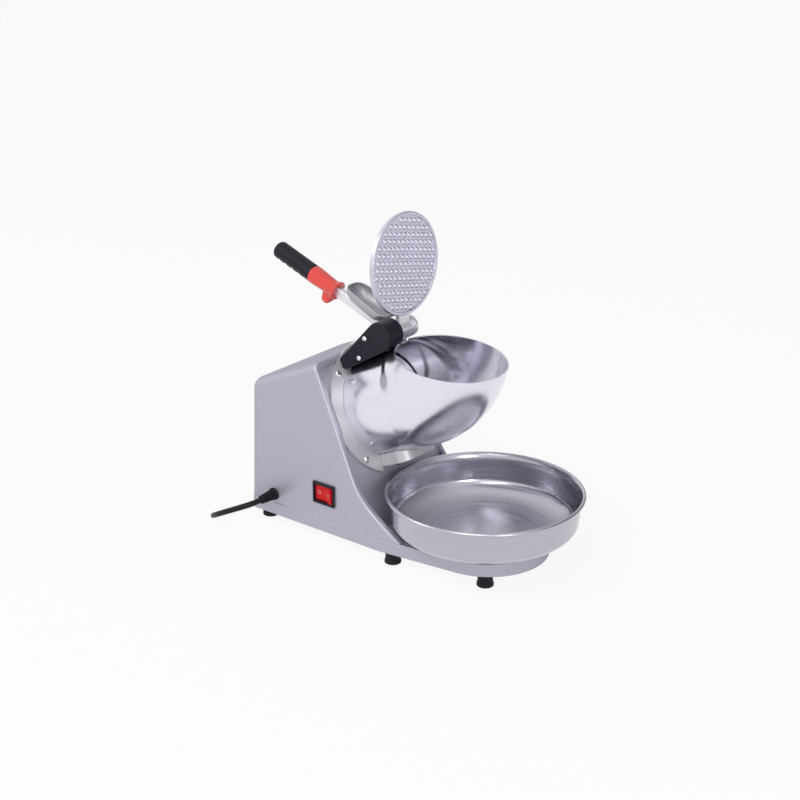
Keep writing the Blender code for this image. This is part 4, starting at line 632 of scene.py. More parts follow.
def smooth_route(points, spacing):
    """Points at an even spacing along a smooth curve through the given ones."""
    ends = [points[0] * 2 - points[1]] + list(points) + [points[-1] * 2 - points[-2]]
    fine = []
    for a, b, c, d in zip(ends, ends[1:], ends[2:], ends[3:]):
        for k in range(16):
            t = k / 16
            fine.append(0.5 * (2 * b + (c - a) * t + (2 * a - 5 * b + 4 * c - d) * t * t
                               + (3 * b - a - 3 * c + d) * t * t * t))
    fine.append(points[-1])
    lengths = [0.0]
    for a, b in zip(fine, fine[1:]):
        lengths.append(lengths[-1] + (b - a).length)
    count = max(2, round(lengths[-1] / spacing))
    route = []
    k = 0
    for i in range(count + 1):
        target = lengths[-1] * i / count
        while k < len(fine) - 2 and lengths[k + 1] < target:
            k += 1
        share = (target - lengths[k]) / (lengths[k + 1] - lengths[k])
        route.append(fine[k].lerp(fine[k + 1], min(share, 1.0)))
    return route


def coil_points():
    """Two layers: in at a steady rate, up half a turn, and out again."""
    cx, forward = COIL_CENTRE
    points = []
    for k in range(COIL_TURNS * COIL_POINTS + 1):
        turn = k / COIL_POINTS
        radius = COIL_OUTER - COIL_STEP * min(turn, COIL_TURNS - turn)
        climb = min(max((turn - COIL_TURNS / 2 + 0.25) / 0.5, 0.0), 1.0)
        height = CORD_RADIUS + FLOOR_GAP + COIL_LAYER * climb
        angle = math.pi / 2 - 2 * math.pi * turn
        points.append(at(cx + radius * math.cos(angle), forward + radius * math.sin(angle), height))
    lead = Vector((2 * CORD_RADIUS, 0.0, 0.0))
    return [points[0] - lead] + points + [points[-1] + lead]


def make_cord(plug_pieces):
    exit_x = -HOUSING_HALF_WIDTH - GAP
    inside = at(exit_x + 0.0030, RELIEF_FORWARD, RELIEF_HEIGHT)
    outside = at(exit_x - RELIEF_LENGTH - 0.0010, RELIEF_FORWARD, RELIEF_HEIGHT)
    coil = coil_points()
    route = [outside] + [at(*point) for point in CORD_ROUTE] + [coil[0] - Vector((COIL_ENTRY, 0.0, 0.0))]
    neck = Vector((PLUG_CENTRE_X - PLUG_LENGTH / 2 - PLUG_NECK, coil[-1].y, coil[-1].z))
    points = [inside] + smooth_route(route, CORD_RADIUS) + coil + [neck]
    curve = bpy.data.curves.new("mains_cord_sheath", "CURVE")
    curve.dimensions = "3D"
    curve.bevel_depth = CORD_RADIUS
    curve.bevel_resolution = 4
    curve.use_fill_caps = True
    spline = curve.splines.new("POLY")
    spline.points.add(len(points) - 1)
    for target, point in zip(spline.points, points):
        target.co = (*point, 1.0)
    curve.materials.append(CORD_SHEATH)
    cord = link(bpy.data.objects.new("mains_cord_sheath", curve))
    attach(cord, "root")
    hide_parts("mains_cord", "cord_coil", "plug_lead")


def plug_sections():
    """(along, half height, half width) from the plug's ribbed neck to its face."""
    back, front = -PLUG_LENGTH / 2, PLUG_LENGTH / 2
    walls = [(back - PLUG_NECK, PLUG_NECK_WALL)]
    for k in range(PLUG_NECK_RIBS):
        z = back - PLUG_NECK + PLUG_NECK * k / PLUG_NECK_RIBS
        crest = PLUG_NECK_WALL + PLUG_NECK_SWELL * k / PLUG_NECK_RIBS
        groove = crest - PLUG_RIB_DEPTH
        walls += [(z + 0.0003, crest), (z + 0.0015, crest), (z + 0.0017, groove), (z + 0.0022, groove)]
    sections = [(z, CORD_RADIUS + wall, CORD_RADIUS + wall) for z, wall in walls]
    shoulder = CORD_RADIUS + PLUG_NECK_WALL + PLUG_NECK_SWELL
    for k in range(9):
        ease = eased(k / 8)
        sections.append((back + PLUG_SHOULDER * k / 8,
                         shoulder + (PLUG_HEIGHT / 2 - 0.0005 - shoulder) * ease,
                         shoulder + (PLUG_WIDTH / 2 - 0.0010 - shoulder) * ease))
    for before_face, inset in ((0.0020, 0.0), (0.0006, 0.0003), (0.0, 0.0012)):
        sections.append((front - before_face, PLUG_HEIGHT / 2 - inset, PLUG_WIDTH / 2 - inset))
    return sections


def make_plug():
    middle = at(PLUG_CENTRE_X, COIL_CENTRE[1] + COIL_OUTER, PLUG_HEIGHT / 2)
    place = Matrix.Translation(middle) @ ALONG_X
    rings = [[place @ Vector((x, y, z)) for x, y in squared_circle(half_x, half_y, 48, PLUG_POWER)]
             for z, half_x, half_y in plug_sections()]
    body = show(loft("plug_body", rings), BLACK_PLASTIC, "root", "mains_plug")
    face = PLUG_LENGTH / 2
    pins = rod("plug_pins", EARTH_PIN_RADIUS, face - 0.002, face + EARTH_PIN_LENGTH,
               place @ Matrix.Translation((0.0065, 0.0, 0.0)), 24)
    for side in (-1, 1):
        centre = side * PIN_PITCH / 2
        blade = box(f"pin_{side}", (-0.0045, centre - PIN_THICKNESS / 2, face - 0.002),
                    (0.0018, centre + PIN_THICKNESS / 2, face + PIN_LENGTH), place)
        cut(pins, blade, operation="UNION")
    round_edges(pins, 0.0004, 2)
    show(pins, STEEL, "root")
    return [body, pins]


def make_strain_relief():
    root = at(-HOUSING_HALF_WIDTH - GAP, RELIEF_FORWARD, RELIEF_HEIGHT)
    place = Matrix.Translation(root) @ AGAINST_X
    tip = RELIEF_TIP_RADIUS
    flare = RELIEF_ROOT_RADIUS + 0.0010
    profile = [(CORD_RADIUS + 0.0001, RELIEF_LENGTH), (tip - 0.0006, RELIEF_LENGTH),
               (tip, RELIEF_LENGTH - 0.0006)]
    step = (RELIEF_LENGTH - 0.0045) / RELIEF_RIBS
    for k in range(RELIEF_RIBS):
        top = RELIEF_LENGTH - 0.0020 - step * k
        radius = tip + (RELIEF_ROOT_RADIUS - tip) * (k + 1) / RELIEF_RIBS
        groove = radius - RELIEF_GROOVE
        profile += [(radius - 0.0002, top), (groove, top - step * 0.08), (groove, top - step * 0.36),
                    (radius - 0.0002, top - step * 0.44), (radius, top - step * 0.52),
                    (radius, top - step * 0.90)]
    profile += [(flare - 0.0005, 0.0022), (flare, 0.0017), (flare, 0.0), (CORD_RADIUS + 0.0001, 0.0)]
    relief = turned("relief_sleeve", profile, place, 40, closed=True)
    show(relief, BLACK_RUBBER, "root", "strain_relief", angle=math.radians(50))


# Base tray and feet

def nose_tangent(inset):
    """Angle on the nose arc where the tapered side meets it, from straight ahead."""
    side = BASE_HALF_WIDTH - inset
    run = NOSE_CENTRE - TAPER_START
    distance = math.hypot(run, side)
    return math.pi - math.acos((NOSE_RADIUS - inset) / distance) - math.atan2(side, run)


def base_outline(inset=0.0, steps=48):
    """Plan of the base as (x, y), drawn in by inset."""
    side = BASE_HALF_WIDTH - inset
    corner = BASE_REAR_CORNER - min(inset, BASE_REAR_CORNER * 0.6)
    right = [(side - corner + corner * math.sin(angle), inset + corner - corner * math.cos(angle))
             for angle in quarter_turn()]
    right.append((side, TAPER_START))
    radius = NOSE_RADIUS - inset
    tangent = nose_tangent(inset)
    for k in range(steps):
        angle = tangent * (1 - k / steps)
        right.append((radius * math.sin(angle), NOSE_CENTRE + radius * math.cos(angle)))
    tip = [(0.0, NOSE_CENTRE + radius)]
    left = [(-x, forward) for x, forward in reversed(right)]
    return [(x, Y_OF_REAR - forward) for x, forward in right + tip + left]


def base_half_width(forward):
    tangent = nose_tangent(0.0)
    end_x = NOSE_RADIUS * math.sin(tangent)
    end_forward = NOSE_CENTRE + NOSE_RADIUS * math.cos(tangent)
    share = (forward - TAPER_START) / (end_forward - TAPER_START)
    return BASE_HALF_WIDTH + (end_x - BASE_HALF_WIDTH) * min(max(share, 0.0), 1.0)


def make_base():
    tray = prism("base_skirt", base_outline(), FOOT_HEIGHT, DECK_TOP)
    round_edges(tray, TRAY_TOP_EDGE, 4)
    hollow = prism("tray_hollow", base_outline(TRAY_WALL), FOOT_HEIGHT - 0.005, DECK_TOP - TRAY_WALL)
    cut(tray, hollow)
    show(tray, SILVER_PAINT, "root", "base_tray")


def make_feet():
    low, top = FOOT_BOTTOM_RADIUS, FOOT_TOP_RADIUS
    height = FOOT_HEIGHT - GAP
    corners = [(0.0, 0.0012), (0.0045, 0.0012), (0.0045, 0.0), (low, 0.0), (low - 0.0004, 0.0042),
               (top + 0.0002, 0.0050), (top, height), (0.0, height)]
    profile = rounded(corners, [0, 0, 0.0004, 0.0012, 0.0006, 0.0006, 0.0008, 0], 5)
    for number in range(1, 7):
        name = f"foot_{number}"
        lowest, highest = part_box(name)
        centre = (Vector(lowest) + Vector(highest)) / 2
        place = Matrix.Translation((centre.x, centre.y, 0.0))
        foot = turned(f"rubber_{name}", profile, place, 48)
        show(foot, BLACK_RUBBER, "root", name)


# Housing

def on_front(above_axis, outward):
    """(forward, height) of a point given square to the leaning front."""
    return (AXIS_FORWARD - above_axis * math.sin(FRONT_LEAN) + outward * math.cos(FRONT_LEAN),
            AXIS_HEIGHT + above_axis * math.cos(FRONT_LEAN) + outward * math.sin(FRONT_LEAN))


def crossing(a, along_a, b, along_b):
    """Where a line from a meets a line from b."""
    run = b - a
    cross = along_a.x * along_b.y - along_a.y * along_b.x
    return a + along_a * ((run.x * along_b.y - run.y * along_b.x) / cross)


def front_curve(toe_height):
    """Side view of the front, from its top edge down to its toe."""
    start = Vector(on_front(HOUSING_TOP, LIP_RISE))
    bend = Vector(on_front(-LIP_BEND_BELOW_AXIS, LIP_RISE))
    toe = Vector((LIP_TOE, DECK_TOP))
    slope = (toe - bend).normalized()
    down = Vector((math.sin(FRONT_LEAN), -math.cos(FRONT_LEAN)))
    corner = crossing(start, down, toe, slope)
    end = toe + slope * ((toe_height - toe.y) / slope.y)
    return rounded([tuple(start), tuple(corner), tuple(end)], [0, LIP_BEND_RADIUS, 0], 16, closed=False)


def rear_corners(inset, bottom):
    """Foot and top of the leaning rear wall in side view."""
    foot = Vector((inset / math.cos(HOUSING_REAR_DRAFT), DECK_TOP))
    up = Vector((math.sin(HOUSING_REAR_DRAFT), math.cos(HOUSING_REAR_DRAFT)))
    along = Vector((math.cos(FRONT_LEAN), math.sin(FRONT_LEAN)))
    top = crossing(foot, up, Vector(on_front(HOUSING_TOP - inset, 0.0)), along)
    return foot + up * ((bottom - foot.y) / up.y), top


def round_shell(obj, radius, rear_top, front_top):
    """Round a shell's edges round its top and down its rear corners."""
    rear_line = Y_OF_REAR - max(rear_top[0], 0.02) - 0.001

    def wanted(edge):
        a, b = (vertex.co for vertex in edge.verts)
        low, high = min(a.z, b.z), max(a.z, b.z)
        if min(a.y, b.y) > rear_line:
            across_top = abs(a.x - b.x) > 0.01 and low > 0.10
            return across_top or high - low > 0.05
        along_top = low > rear_top[1] - 0.001 and high < front_top[1] + 0.001
        return along_top and abs(a.x - b.x) < 0.0001 and abs(a.y - b.y) > 0.05

    round_edges(obj, radius, 8, wanted)


def on_front_rim(edge):
    """Whether an edge of the shell is on the outer rim of its front."""
    facing = Vector((0.0, -math.cos(FRONT_LEAN), math.sin(FRONT_LEAN)))
    fronts = [face.normal.dot(facing) > 0.75 for face in edge.link_faces]
    return any(fronts) and not all(fronts) and max(v.co.z for v in edge.verts) > DECK_TOP + 0.001


def taper_shell(shell):
    """Draw the lips' toes in to the base's tapered sides."""
    share = (BASE_HALF_WIDTH - HOUSING_HALF_WIDTH) / (BASE_HALF_WIDTH - base_half_width(1.0))
    end_forward = NOSE_CENTRE + NOSE_RADIUS * math.cos(nose_tangent(0.0))
    start = TAPER_START + (end_forward - TAPER_START) * share
    bm = bmesh.new()
    bm.from_mesh(shell.data)
    bmesh.ops.bisect_plane(bm, geom=bm.verts[:] + bm.edges[:] + bm.faces[:],
                           plane_co=at(0.0, start, 0.0), plane_no=(0, 1, 0))
    for vertex in bm.verts:
        limit = base_half_width(Y_OF_REAR - vertex.co.y)
        vertex.co.x = min(max(vertex.co.x, -limit), limit)
    bm.to_mesh(shell.data)
    bm.free()


def make_housing():
    bottom = DECK_TOP + GAP
    foot, rear_top = rear_corners(0.0, bottom)
    front = front_curve(bottom)
    outline = [tuple(foot), tuple(rear_top)] + front
    shell = prism("housing_shell", outline, -HOUSING_HALF_WIDTH, HOUSING_HALF_WIDTH, SIDE_FRAME)
    taper_shell(shell)
    round_shell(shell, HOUSING_EDGE, rear_top, front[0])
    round_edges(shell, LIP_EDGE, 5, wanted=on_front_rim)
    inner_foot, inner_top = rear_corners(HOUSING_WALL, DECK_TOP - 0.010)
    front_top = on_front(HOUSING_TOP - HOUSING_WALL, LIP_RISE - LIP_DEPTH)
    drop = (front_top[1] - inner_foot.y) / math.cos(FRONT_LEAN)
    front_foot = (front_top[0] + drop * math.sin(FRONT_LEAN), inner_foot.y)
    hollow_half = HOUSING_HALF_WIDTH - HOUSING_WALL
    hollow = prism("hollow", [tuple(inner_foot), tuple(inner_top), front_top, front_foot],
                   -hollow_half, hollow_half, SIDE_FRAME)
    round_shell(hollow, HOUSING_EDGE - HOUSING_WALL, inner_top, front_top)
    half = HOUSING_HALF_WIDTH - LIP_WIDTH
    top = HOUSING_TOP - LIP_WIDTH
    mouth = prism("mouth", rounded([(-half, -0.25), (half, -0.25), (half, top), (-half, top)],
                                   [0, 0, LIP_CORNER, LIP_CORNER]),
                  LIP_RISE - LIP_DEPTH - 0.002, 0.12, AXIS_FRAME)
    cut(mouth, prism("mouth_plan", base_outline(LIP_WIDTH), -0.02, 0.32), operation="INTERSECT")
    room = rod("flange_room", FLANGE_RADIUS + GAP, 0.0, 0.10, AXIS_FRAME, 128)
    cut(room, slab("room_sides", half, (-0.1, 0.1), (-0.01, 0.2), AXIS_FRAME), operation="INTERSECT")
    switch_hole = switch_block("switch_hole", -0.030, 0.030, SWITCH_BODY_LENGTH + 2 * GAP,
                               SWITCH_BODY_WIDTH + 2 * GAP)
    cord_spot = Matrix.Translation(at(-HOUSING_HALF_WIDTH, RELIEF_FORWARD, RELIEF_HEIGHT)) @ ALONG_X
    cord_hole = rod("cord_hole", CORD_RADIUS + GAP, -0.02, 0.02, cord_spot, 32)
    cut(shell, hollow, mouth, room, switch_hole, cord_hole)
    show(shell, SILVER_PAINT, "root", "housing")


# Flange, hopper and outlet hood

def hopper_rings(extra=0.0, steps=40):
    """Rings of the hopper's outside, from the flange up to the mouth, let out by extra."""
    mouth = at(0.0, MOUTH_FORWARD, MOUTH_HEIGHT)
    mouth_up = Vector((0.0, -math.sin(MOUTH_TILT), math.cos(MOUTH_TILT)))
    outer_reach = (mouth - HINGE) - mouth_up * mouth_up.dot(mouth - HINGE)
    outward = outer_reach.normalized()
    bend = math.pi / 2 - MOUTH_TILT - FRONT_LEAN
    root = AXIS_FRAME @ Vector((0.0, 0.0, FLANGE_FRONT + GAP - extra))
    sections = [(root, AXIS_FRAME.to_3x3() @ Vector((0, 1, 0)), HOPPER_ROOT_RADIUS)]
    for k in range(steps + 1):
        share = k / steps
        swing = Matrix.Rotation(bend * (1 - share), 3, "X")
        swell = eased(min(1.0, share / HOPPER_SWELL))
        radius = HOPPER_ROOT_RADIUS + (HOPPER_MOUTH_RADIUS - HOPPER_ROOT_RADIUS) * swell
        centre = (mouth - HINGE) + outward * (HOPPER_MOUTH_RADIUS - radius)
        sections.append((HINGE + swing @ centre, -(swing @ outward), radius))
    rings = []
    for centre, up, radius in sections:
        rings.append([centre + (Vector((1, 0, 0)) * x + up * y) for x, y in circle(radius + extra, 128)])
    if extra > 0:
        rings.append([point + mouth_up * 2 * extra for point in rings[-1]])
    return rings


def make_hopper():
    hopper = loft("hopper_shell", hopper_rings(), capped=False)
    wall = hopper.modifiers.new("wall", "SOLIDIFY")
    wall.thickness = HOPPER_WALL
    wall.offset = -1.0
    settle(hopper)
    round_edges(hopper, 0.0006, wanted=lambda edge: min(v.co.z for v in edge.verts) > 0.19)
    hub_room = rod("hub_room", HUB_ROOM_RADIUS, -HUB_ROOM_HALF_WIDTH, HUB_ROOM_HALF_WIDTH,
                   HINGE_FRAME @ ALONG_X, 96)
    outlet = slab("outlet_cut", OUTLET_HALF_WIDTH, (-0.08, -0.040), (0.0, OUTLET_DEEP), AXIS_FRAME)
    cut(hopper, hub_room, outlet, folded=True)
    show(hopper, POLISHED_ALUMINIUM, "root", "hopper")


def make_flange():
    flange = rod("flange_sheet", FLANGE_RADIUS, GAP, FLANGE_FRONT, AXIS_FRAME, 160)
    notch = slab("notch", NOTCH_HALF_WIDTH, (-0.1, -NOTCH_TOP_BELOW), (-0.01, 0.02), AXIS_FRAME)
    bore = rod("flange_bore", FLANGE_BORE, -0.02, 0.02, AXIS_FRAME)
    cut(flange, notch, bore)
    half = HOUSING_HALF_WIDTH - LIP_WIDTH - GAP
    cut(flange, slab("sides", half, (-0.1, 0.1), (-0.01, 0.02), AXIS_FRAME), operation="INTERSECT")
    round_edges(flange, 0.0006)
    show(flange, SHEET_ALUMINIUM, "root", "flange")


def make_hood():
    across = AXIS_FRAME @ Matrix.Rotation(math.pi / 2, 4, "X")
    half, reach, wall = HOOD_HALF_WIDTH, HOOD_REACH, HOOD_WALL
    outer = [(-half, GAP), (-half, reach), (half, reach), (half, GAP)]
    inner = [(-half + wall, -0.01), (-half + wall, reach - wall),
             (half - wall, reach - wall), (half - wall, -0.01)]
    hood = prism("hood_sheet", rounded(outer, [0, HOOD_CORNER, HOOD_CORNER, 0]), 0.020, HOOD_BELOW_AXIS,
                 across)
    inside = prism("hood_inside", rounded(inner, [0, HOOD_CORNER - wall, HOOD_CORNER - wall, 0]),
                   0.010, HOOD_BELOW_AXIS + 0.01, across)
    behind = rod("hood_behind", FLANGE_RADIUS + 0.02, -0.01, FLANGE_FRONT + GAP, AXIS_FRAME)
    cut(behind, slab("hood_below", 0.1, (-0.2, -NOTCH_TOP_BELOW - GAP), (-0.02, 0.05), AXIS_FRAME))
    cut(hood, inside, loft("hood_hopper_room", hopper_rings(GAP * 1.5)), behind)
    show(hood, SHEET_ALUMINIUM, "root", "outlet_hood")


# Screws with a pan head and a cross recess

def make_screw(node, radius, length, spot, body):
    head = radius * 2
    crown = radius * 1.25
    profile = rounded([(0.0, crown), (head * 0.75, crown * 0.88), (head, crown * 0.35), (head, GAP),
                       (radius, GAP), (radius, -length), (0.0, -length)],
                      [0, radius * 0.5, radius * 0.3, 0, 0, 0, 0], 5)
    screw = turned("_cross_".join(node.split("_", 1)), profile, spot, 40)
    long, thin = head * 0.62, radius * 0.17
    for turn in (0.4, 0.4 + math.pi / 2):
        cut(screw, slab("arm", long, (-thin, thin), (crown * 0.40, crown * 2),
                        spot @ Matrix.Rotation(turn, 4, "Z")))
    show(screw, STEEL, body, node)


def make_screws():
    for number in range(1, 5):
        angle = math.radians(45 + 90 * (number - 1))
        spot = AXIS_FRAME @ Matrix.Translation((FLANGE_SCREW_CIRCLE * math.cos(angle),
                                                FLANGE_SCREW_CIRCLE * math.sin(angle), FLANGE_FRONT))
        make_screw(f"flange_screw_{number}", FLANGE_SCREW_RADIUS, FLANGE_SCREW_LENGTH, spot, "root")
    for number, (forward, height) in enumerate(COVER_SCREWS, 1):
        spot = Matrix.Translation(at(-COVER_OUTER, forward, height)) @ AGAINST_X
        make_screw(f"cover_screw_{number}", COVER_SCREW_RADIUS, COVER_SCREW_LENGTH, spot, "root")
    lowest = PLATE_DISTANCE - PLATE_RADIUS + PLATE_BOLT_EDGE
    for number, level in enumerate((lowest, lowest + PLATE_BOLT_PITCH), 1):
        spot = (PLATE_FRAME @ Matrix.Translation((0.0, NECK_FRONT + NECK_THICKNESS, level))
                @ Matrix.Rotation(-math.pi / 2, 4, "X"))
        length = NECK_THICKNESS + PLATE_BOLT_HOLD
        make_screw(f"plate_bolt_{number}", PLATE_BOLT_RADIUS, length, spot, "press")
    places = [(turn, side) for turn in (0.0, math.pi) for side in (-1, 1)]
    for number, (turn, side) in enumerate(places, 1):
        across = BLADE_RADIUS_AT + side * BLADE_SCREW_SPREAD
        spot = (AXIS_FRAME @ Matrix.Rotation(turn, 4, "Z")
                @ Matrix.Translation((across, BLADE_SCREW_OFFSET, DISC_FRONT + GAP + BLADE_THICKNESS)))
        make_screw(f"blade_screw_{number}", BLADE_SCREW_RADIUS, BLADE_SCREW_LENGTH, spot, "rotor")


# Hinge bracket and the black cover on its near side

def arm_outline(end, end_radius, start, start_radius, steps=24):
    """Outline of a tapered arm round two circles, in (forward, height)."""
    end, start = Vector(end), Vector(start)
    axis = end - start
    heading = math.atan2(axis.y, axis.x)
    spread = math.acos((start_radius - end_radius) / axis.length)
    points = []
    for k in range(2 * steps + 1):
        angle = heading - spread + spread * k / steps
        points.append(tuple(end + end_radius * Vector((math.cos(angle), math.sin(angle)))))
    for k in range(steps + 1):
        angle = heading + spread + (2 * math.pi - 2 * spread) * k / steps
        points.append(tuple(start + start_radius * Vector((math.cos(angle), math.sin(angle)))))
    return points


def behind_flange():
    """A cutter for what would reach into the flange or behind it."""
    return slab("behind", 0.1, (-0.1, 0.2), (-0.1, FLANGE_FRONT + GAP), AXIS_FRAME)


def make_bracket():
    hinge = (HINGE_FORWARD, HINGE_HEIGHT)
    foot = on_front(FLANGE_RADIUS - BRACKET_FOOT_BELOW, FLANGE_FRONT)
    bracket = prism("bracket_casting", arm_outline(hinge, CHEEK_RADIUS, foot, BRACKET_FOOT_RADIUS),
                    -CHEEK_OUTER, CHEEK_OUTER, SIDE_FRAME)
    round_edges(bracket, 0.0010, 4)
    slot = slab("slot", CHEEK_INNER, (-0.05, 0.12), (FLANGE_FRONT + GAP + BRACKET_BASE, 0.12), AXIS_FRAME)
    pin_hole = rod("pin_hole", PIN_RADIUS + GAP, -0.05, 0.05, HINGE_FRAME @ ALONG_X, 48)
    cut(bracket, slot, behind_flange(), loft("bracket_room", hopper_rings(GAP * 2)), pin_hole)
    stop = slab("stop_web", CHEEK_INNER + 0.001, (STOP_START, STOP_END),
                (BAR_BOTTOM - STOP_DEPTH, BAR_BOTTOM - GAP), LEVER_FRAME)
    cut(bracket, stop, operation="UNION")
    show(bracket, CAST_ALUMINIUM, "root", "hinge_bracket")


def make_cover():
    hinge = (HINGE_FORWARD, HINGE_HEIGHT)
    outer = arm_outline(hinge, COVER_RADIUS, COVER_FOOT, COVER_FOOT_RADIUS)
    cover = prism("cover_shell", outer, COVER_INNER, COVER_OUTER, SIDE_FRAME)
    round_edges(cover, 0.0018, 5,
                wanted=lambda edge: max(v.co.x for v in edge.verts) < -COVER_OUTER + 0.001)
    inner = arm_outline(hinge, COVER_RADIUS - COVER_WALL, COVER_FOOT, COVER_FOOT_RADIUS - COVER_WALL)
    room = prism("cover_room", inner, COVER_INNER - COVER_WALL, COVER_OUTER - COVER_WALL, SIDE_FRAME)
    cut(cover, room, behind_flange(), loft("cover_near", hopper_rings(COVER_CLEARANCE)))
    show(cover, BLACK_PLASTIC, "root", "hinge_cover")


# Press lever

def make_press_arm():
    half = BAR_WIDTH / 2
    arm = slab("lever_bar", half, (0.002, BAR_END), (BAR_BOTTOM, BAR_TOP), LEVER_FRAME)
    round_edges(arm, 0.0015, 4)
    hub = rod("hub", HUB_RADIUS, -HUB_HALF_WIDTH, HUB_HALF_WIDTH, HINGE_FRAME @ ALONG_X, 96)
    round_edges(hub, 0.0006)
    root = slab("root_web", half + 0.001, (-0.003, 0.0135), (BAR_BOTTOM + 0.0005, -0.002), LEVER_FRAME)
    round_edges(root, 0.0008)
    neck = slab("neck", NECK_WIDTH / 2, (NECK_FRONT, NECK_FRONT + NECK_THICKNESS), (0.0, NECK_LENGTH),
                PLATE_FRAME)
    round_edges(neck, 0.0010)
    cut(arm, hub, root, neck, operation="UNION")
    cut(arm, rod("arm_pin_hole", PIN_RADIUS + GAP, -0.03, 0.03, HINGE_FRAME @ ALONG_X, 48))
    show(arm, CAST_ALUMINIUM, "press", "press_arm")


def on_lever(points, along):
    """A section through the lever, from (across, up) points round the middle of its bar."""
    return [LEVER_FRAME @ Vector((x, along, -BAR_DROP + z)) for x, z in points]


def bar_slot(name):
    """A cutter for the bar's room in what is pushed over it."""
    return slab(name, BAR_WIDTH / 2 + GAP, (COLLAR_START - 0.01, BAR_END + 0.001),
                (BAR_BOTTOM - GAP, BAR_TOP + GAP), LEVER_FRAME)


def make_collar():
    flare, waist, full = COLLAR_FLARE_RADIUS, COLLAR_WAIST_RADIUS, COLLAR_RADIUS
    start, end = COLLAR_START, COLLAR_END
    corners = [(start, flare - 0.0004), (start + 0.0004, flare), (start + 0.0030, flare),
               (start + 0.0050, waist), (start + 0.0120, waist), (end - 0.0060, full), (end - 0.0004, full),
               (end, full - 0.0004)]
    line = rounded(corners, [0, 0.0003, 0.0010, 0.0014, 0.0040, 0.0080, 0.0003, 0], 8, closed=False)
    collar = loft("collar_shell", [on_lever(squared_circle(radius, radius, 64, COLLAR_POWER), along)
                                   for along, radius in line])
    half = SPUR_HALF_LENGTH
    corners = [(SPUR_PLACE - half, -SPUR_DROP), (SPUR_PLACE + half, -SPUR_DROP),
               (SPUR_PLACE + half * 1.5, -BAR_DROP), (SPUR_PLACE - half * 1.2, -BAR_DROP)]
    spur_frame = LEVER_FRAME @ Matrix(((0, 0, 1, 0), (1, 0, 0, 0), (0, 1, 0, 0), (0, 0, 0, 1)))
    spur = prism("spur", rounded(corners, [half * 0.9, half * 0.9, 0, 0]), -SPUR_HALF_WIDTH,
                 SPUR_HALF_WIDTH, spur_frame)
    round_edges(spur, 0.0016, 5)
    cut(collar, spur, operation="UNION")
    cut(collar, bar_slot("collar_slot"))
    show(collar, RED_PLASTIC, "press", "lever_collar")


def make_grip():
    start = COLLAR_END + GAP
    ball = GRIP_END - GRIP_END_ROUNDING
    stations = 80
    rings = []
    for k in range(stations + 1):
        share = k / stations
        wave = max(0.0, -math.cos(2 * math.pi * GRIP_GROOVES * share)) * math.sin(math.pi * share)
        easing = min(1.0, share * stations / 3)
        section = []
        for c, s in circle(1.0, 64):
            radius = GRIP_RADIUS - GRIP_GROOVE_DEPTH * wave * max(0.0, -s) - GRIP_START_STEP * (1 - easing)
            section.append((radius * c, radius * s))
        rings.append(on_lever(section, start + (ball - start) * share))
    for turn in quarter_turn()[1:]:
        radius = GRIP_RADIUS - GRIP_END_ROUNDING * (1 - math.cos(turn))
        rings.append(on_lever(circle(radius, 64), ball + GRIP_END_ROUNDING * math.sin(turn)))
    grip = loft("grip_sleeve", rings)
    cut(grip, bar_slot("grip_slot"))
    show(grip, BLACK_PLASTIC, "press", "lever_grip")


def scoop_ring(share, height, inset):
    """The scoop's outline at a height, drawn in to a share of the rim's size."""
    wide, narrow = SCOOP_WIDE - inset, SCOOP_NARROW - inset
    start, end = SCOOP_START + inset, SCOOP_END - inset
    middle = (SCOOP_START + SCOOP_END) / 2
    corners = [(-wide, start), (wide, start), (narrow, end), (-narrow, end)]
    radii = [SCOOP_WIDE_CORNER - inset] * 2 + [SCOOP_NARROW_CORNER - inset] * 2
    outline = rounded(corners, radii, 14)
    return [LEVER_FRAME @ Vector((x * share, middle + (y - middle) * share, height)) for x, y in outline]


def make_scoop():
    low = BAR_TOP + GAP
    depth = SCOOP_RIM - low
    levels = [(SCOOP_FLOOR + (1 - SCOOP_FLOOR) * math.sin(angle), 1 - math.cos(angle))
              for angle in quarter_turn()]
    inner = [scoop_ring(share, low + SCOOP_WALL + (depth - SCOOP_WALL - 0.0003) * rise, SCOOP_WALL)
             for share, rise in levels]
    rim = [scoop_ring(1.0, SCOOP_RIM, SCOOP_WALL - 0.0004), scoop_ring(1.0, SCOOP_RIM, 0.0004)]
    outer = [scoop_ring(share, low + (depth - 0.0004) * rise, 0.0) for share, rise in reversed(levels)]
    show(loft("scoop_casting", inner + rim + outer), ROUGH_CASTING, "press", "lever_scoop")


# Press plate with its field of blunt pyramid studs

